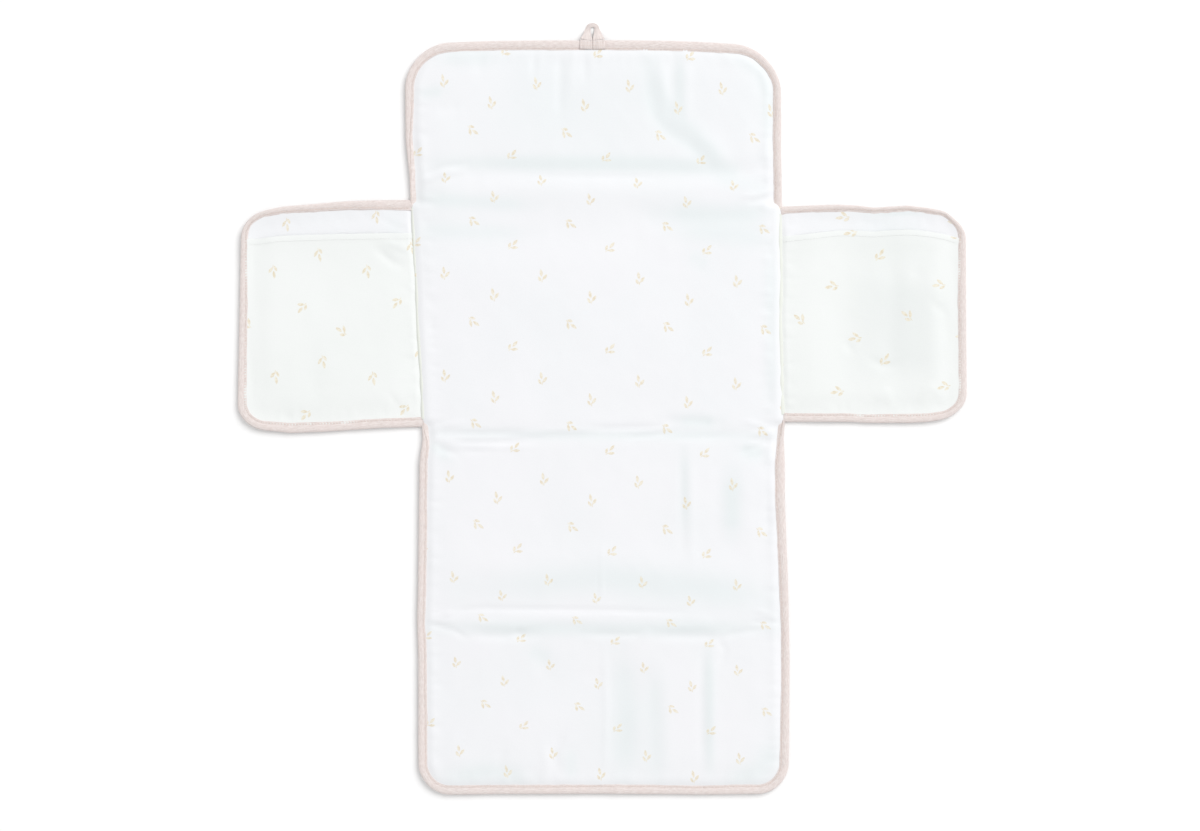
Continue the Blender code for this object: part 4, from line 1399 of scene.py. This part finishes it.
def loop_path():
    """The tape's stations up the left leg, round the eye and down the right leg."""
    reach = LOOP_TIP_Y - FLAP_Y - TIP_RISE
    legs = np.linspace(0, reach, 16)[:-1]
    outer, inner = LOOP_EDGES[-1, 1] * MM, LOOP_EDGES[-1, 2] * MM
    arc = []
    for a in np.linspace(math.pi, 0, 21):
        y, z = FLAP_Y + reach, loop_height(reach)
        low = (outer * math.cos(a), y + TIP_RISE * math.sin(a), z - 0.1 * MM * math.sin(a))
        high = (inner * math.cos(a), y + EYE_TOP * math.sin(a), z + 0.5 * MM * math.sin(a))
        arc.append(tape_station(high, low))
    return loop_leg(-1, legs) + arc + loop_leg(1, legs[::-1])


def tape_piece(name, stations):
    """Tape with softly rounded edges run through stations, laid down with the strip."""
    section = TAPE_SECTION + [(a, -b) for a, b in reversed(TAPE_SECTION[1:-1])]
    centres = [station[0] for station in stations]
    rows = []
    for i, (_, half, way) in enumerate(stations):
        along = (centres[min(i + 1, len(centres) - 1)] - centres[max(i - 1, 0)]).normalized()
        across = (way - along * way.dot(along)).normalized()
        out = along.cross(across)
        rows.append([centres[i] + across * a * half + out * b * LOOP_TAPE for a, b in section])
    points = np.array(rows, float)
    points[:, :, 0], points[:, :, 1] = place_strip(points[:, :, 0], points[:, :, 1])
    count, around = points.shape[:2]
    caps = [list(range(around))[::-1], list(range((count - 1) * around, count * around))]
    faces = tube_faces(count, around).tolist() + caps
    piece, mesh = new_piece(name, points.reshape(-1, 3).tolist(), faces, "binding_tape")
    run = np.concatenate([[0], np.cumsum([(b - a).length for a, b in zip(centres, centres[1:])])])
    flat = np.array([[(r, a * 5.7 * MM) for a, _ in section] for r in run]).reshape(-1, 2)
    layer = mesh.uv_layers.new(name=CLOTH_UV)
    loops = np.zeros(len(mesh.loops), np.int32)
    mesh.loops.foreach_get("vertex_index", loops)
    layer.data.foreach_set("uv", flat[loops].astype(np.float32).ravel())
    return piece


def make_loop():
    tape = tape_piece("loop_tape", loop_path())
    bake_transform(tape)
    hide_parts("loop")
    for side, word in ((-1, "left"), (1, "right")):
        stations = loop_leg(side, np.linspace(LOOP_EDGES[0, 0] * MM, 0.1 * MM, 9))
        tape = tape_piece(f"loop_end_{word}", stations)
        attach(tape, "flap")
        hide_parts(f"flap_loop_end_{word}")
    loop_stitches()


def loop_stitches():
    """Rows of close stitches across the ends of the loop."""
    starts, ends = [], []
    for row in LOOP_STITCH_ROWS:
        height = loop_height(row) + LOOP_TAPE / 2
        for x in np.arange(-10.6 * MM, 10.2 * MM, LOOP_STITCH_PITCH):
            for store, place in ((starts, x), (ends, x + LOOP_STITCH_LENGTH)):
                laid_x, laid_y = place_strip(np.array(place), np.array(FLAP_Y + row))
                store.append((float(laid_x), float(laid_y), height))
    starts, ends = np.array(starts), np.array(ends)
    points, faces, uv = stitch_row(starts, ends, np.tile([0.0, 0, 1], (len(starts), 1)), 0.16 * MM)
    place = np.full(len(points), FLAP_Y)
    cut_layer("loop_stitches", points, faces, uv, place, STRIP_ZONES, "thread")


# ---- Button ----


def finish_button():
    for node in ("button", "button_thread"):
        mesh = frame["nodes"][node].data
        mesh.materials.clear()
        mesh.materials.append(MATERIAL["button" if node == "button" else "thread"])


# ---- Setting ----

VIEW_WIDTH = 1.08
VIEW_CENTRE = (-2.7 * MM, -6.1 * MM)
LENS = 85.0
SENSOR = 36.0
FLOOR_HALF = 6.0
SURROUND = 0.78
KEY_PLACE = (4.9, 5.0, 7.2)
KEY_SIZE = 7.5
KEY_POWER = 575


def make_camera():
    data = bpy.data.cameras.new("camera")
    data.lens, data.sensor_width = LENS, SENSOR
    camera = bpy.data.objects.new("camera", data)
    bpy.context.scene.collection.objects.link(camera)
    camera.location = (*VIEW_CENTRE, VIEW_WIDTH / SENSOR * LENS)
    data.clip_start, data.clip_end = 0.05, 50
    bpy.context.scene.camera = camera


def make_floor():
    material, bench, shader = new_material("floor", 0.95, Specular_IOR_Level=0.1)
    grain = bench.cloud(bench.object_place(), 60.0, 3.0, 0.3, 0.7)
    bench.put(shader.inputs["Base Color"], bench.mix_colour(grain, FLOOR_DARK, FLOOR_LIGHT))
    mesh = bpy.data.meshes.new("floor")
    corners = [(x * FLOOR_HALF, y * FLOOR_HALF, 0) for x, y in ((-1, -1), (1, -1), (1, 1), (-1, 1))]
    mesh.from_pydata(corners, [], [(0, 1, 2, 3)])
    mesh.materials.append(material)
    floor = bpy.data.objects.new("floor", mesh)
    bpy.context.scene.collection.objects.link(floor)


def make_lights():
    """An even white surround, and one broad light from the far right, aimed at the pad."""
    world = bpy.data.worlds.new("studio")
    world.use_nodes = True
    background = world.node_tree.nodes["Background"]
    background.inputs["Color"].default_value = (1.0, 1.0, 1.0, 1)
    background.inputs["Strength"].default_value = SURROUND
    bpy.context.scene.world = world
    data = bpy.data.lights.new("key", "AREA")
    data.shape, data.size, data.energy = "DISK", KEY_SIZE, KEY_POWER
    light = bpy.data.objects.new("key", data)
    bpy.context.scene.collection.objects.link(light)
    light.location = KEY_PLACE
    light.rotation_mode = "QUATERNION"
    light.rotation_quaternion = (-Vector(KEY_PLACE)).to_track_quat("-Z", "Y")
    bpy.context.scene.view_settings.view_transform = "Standard"


def main():
    make_camera()
    make_floor()
    make_lights()
    strip_face()
    strip_shell()
    strip_binding()
    for name in WINGS:
        build_wing(name)
    make_loop()
    finish_button()


main()
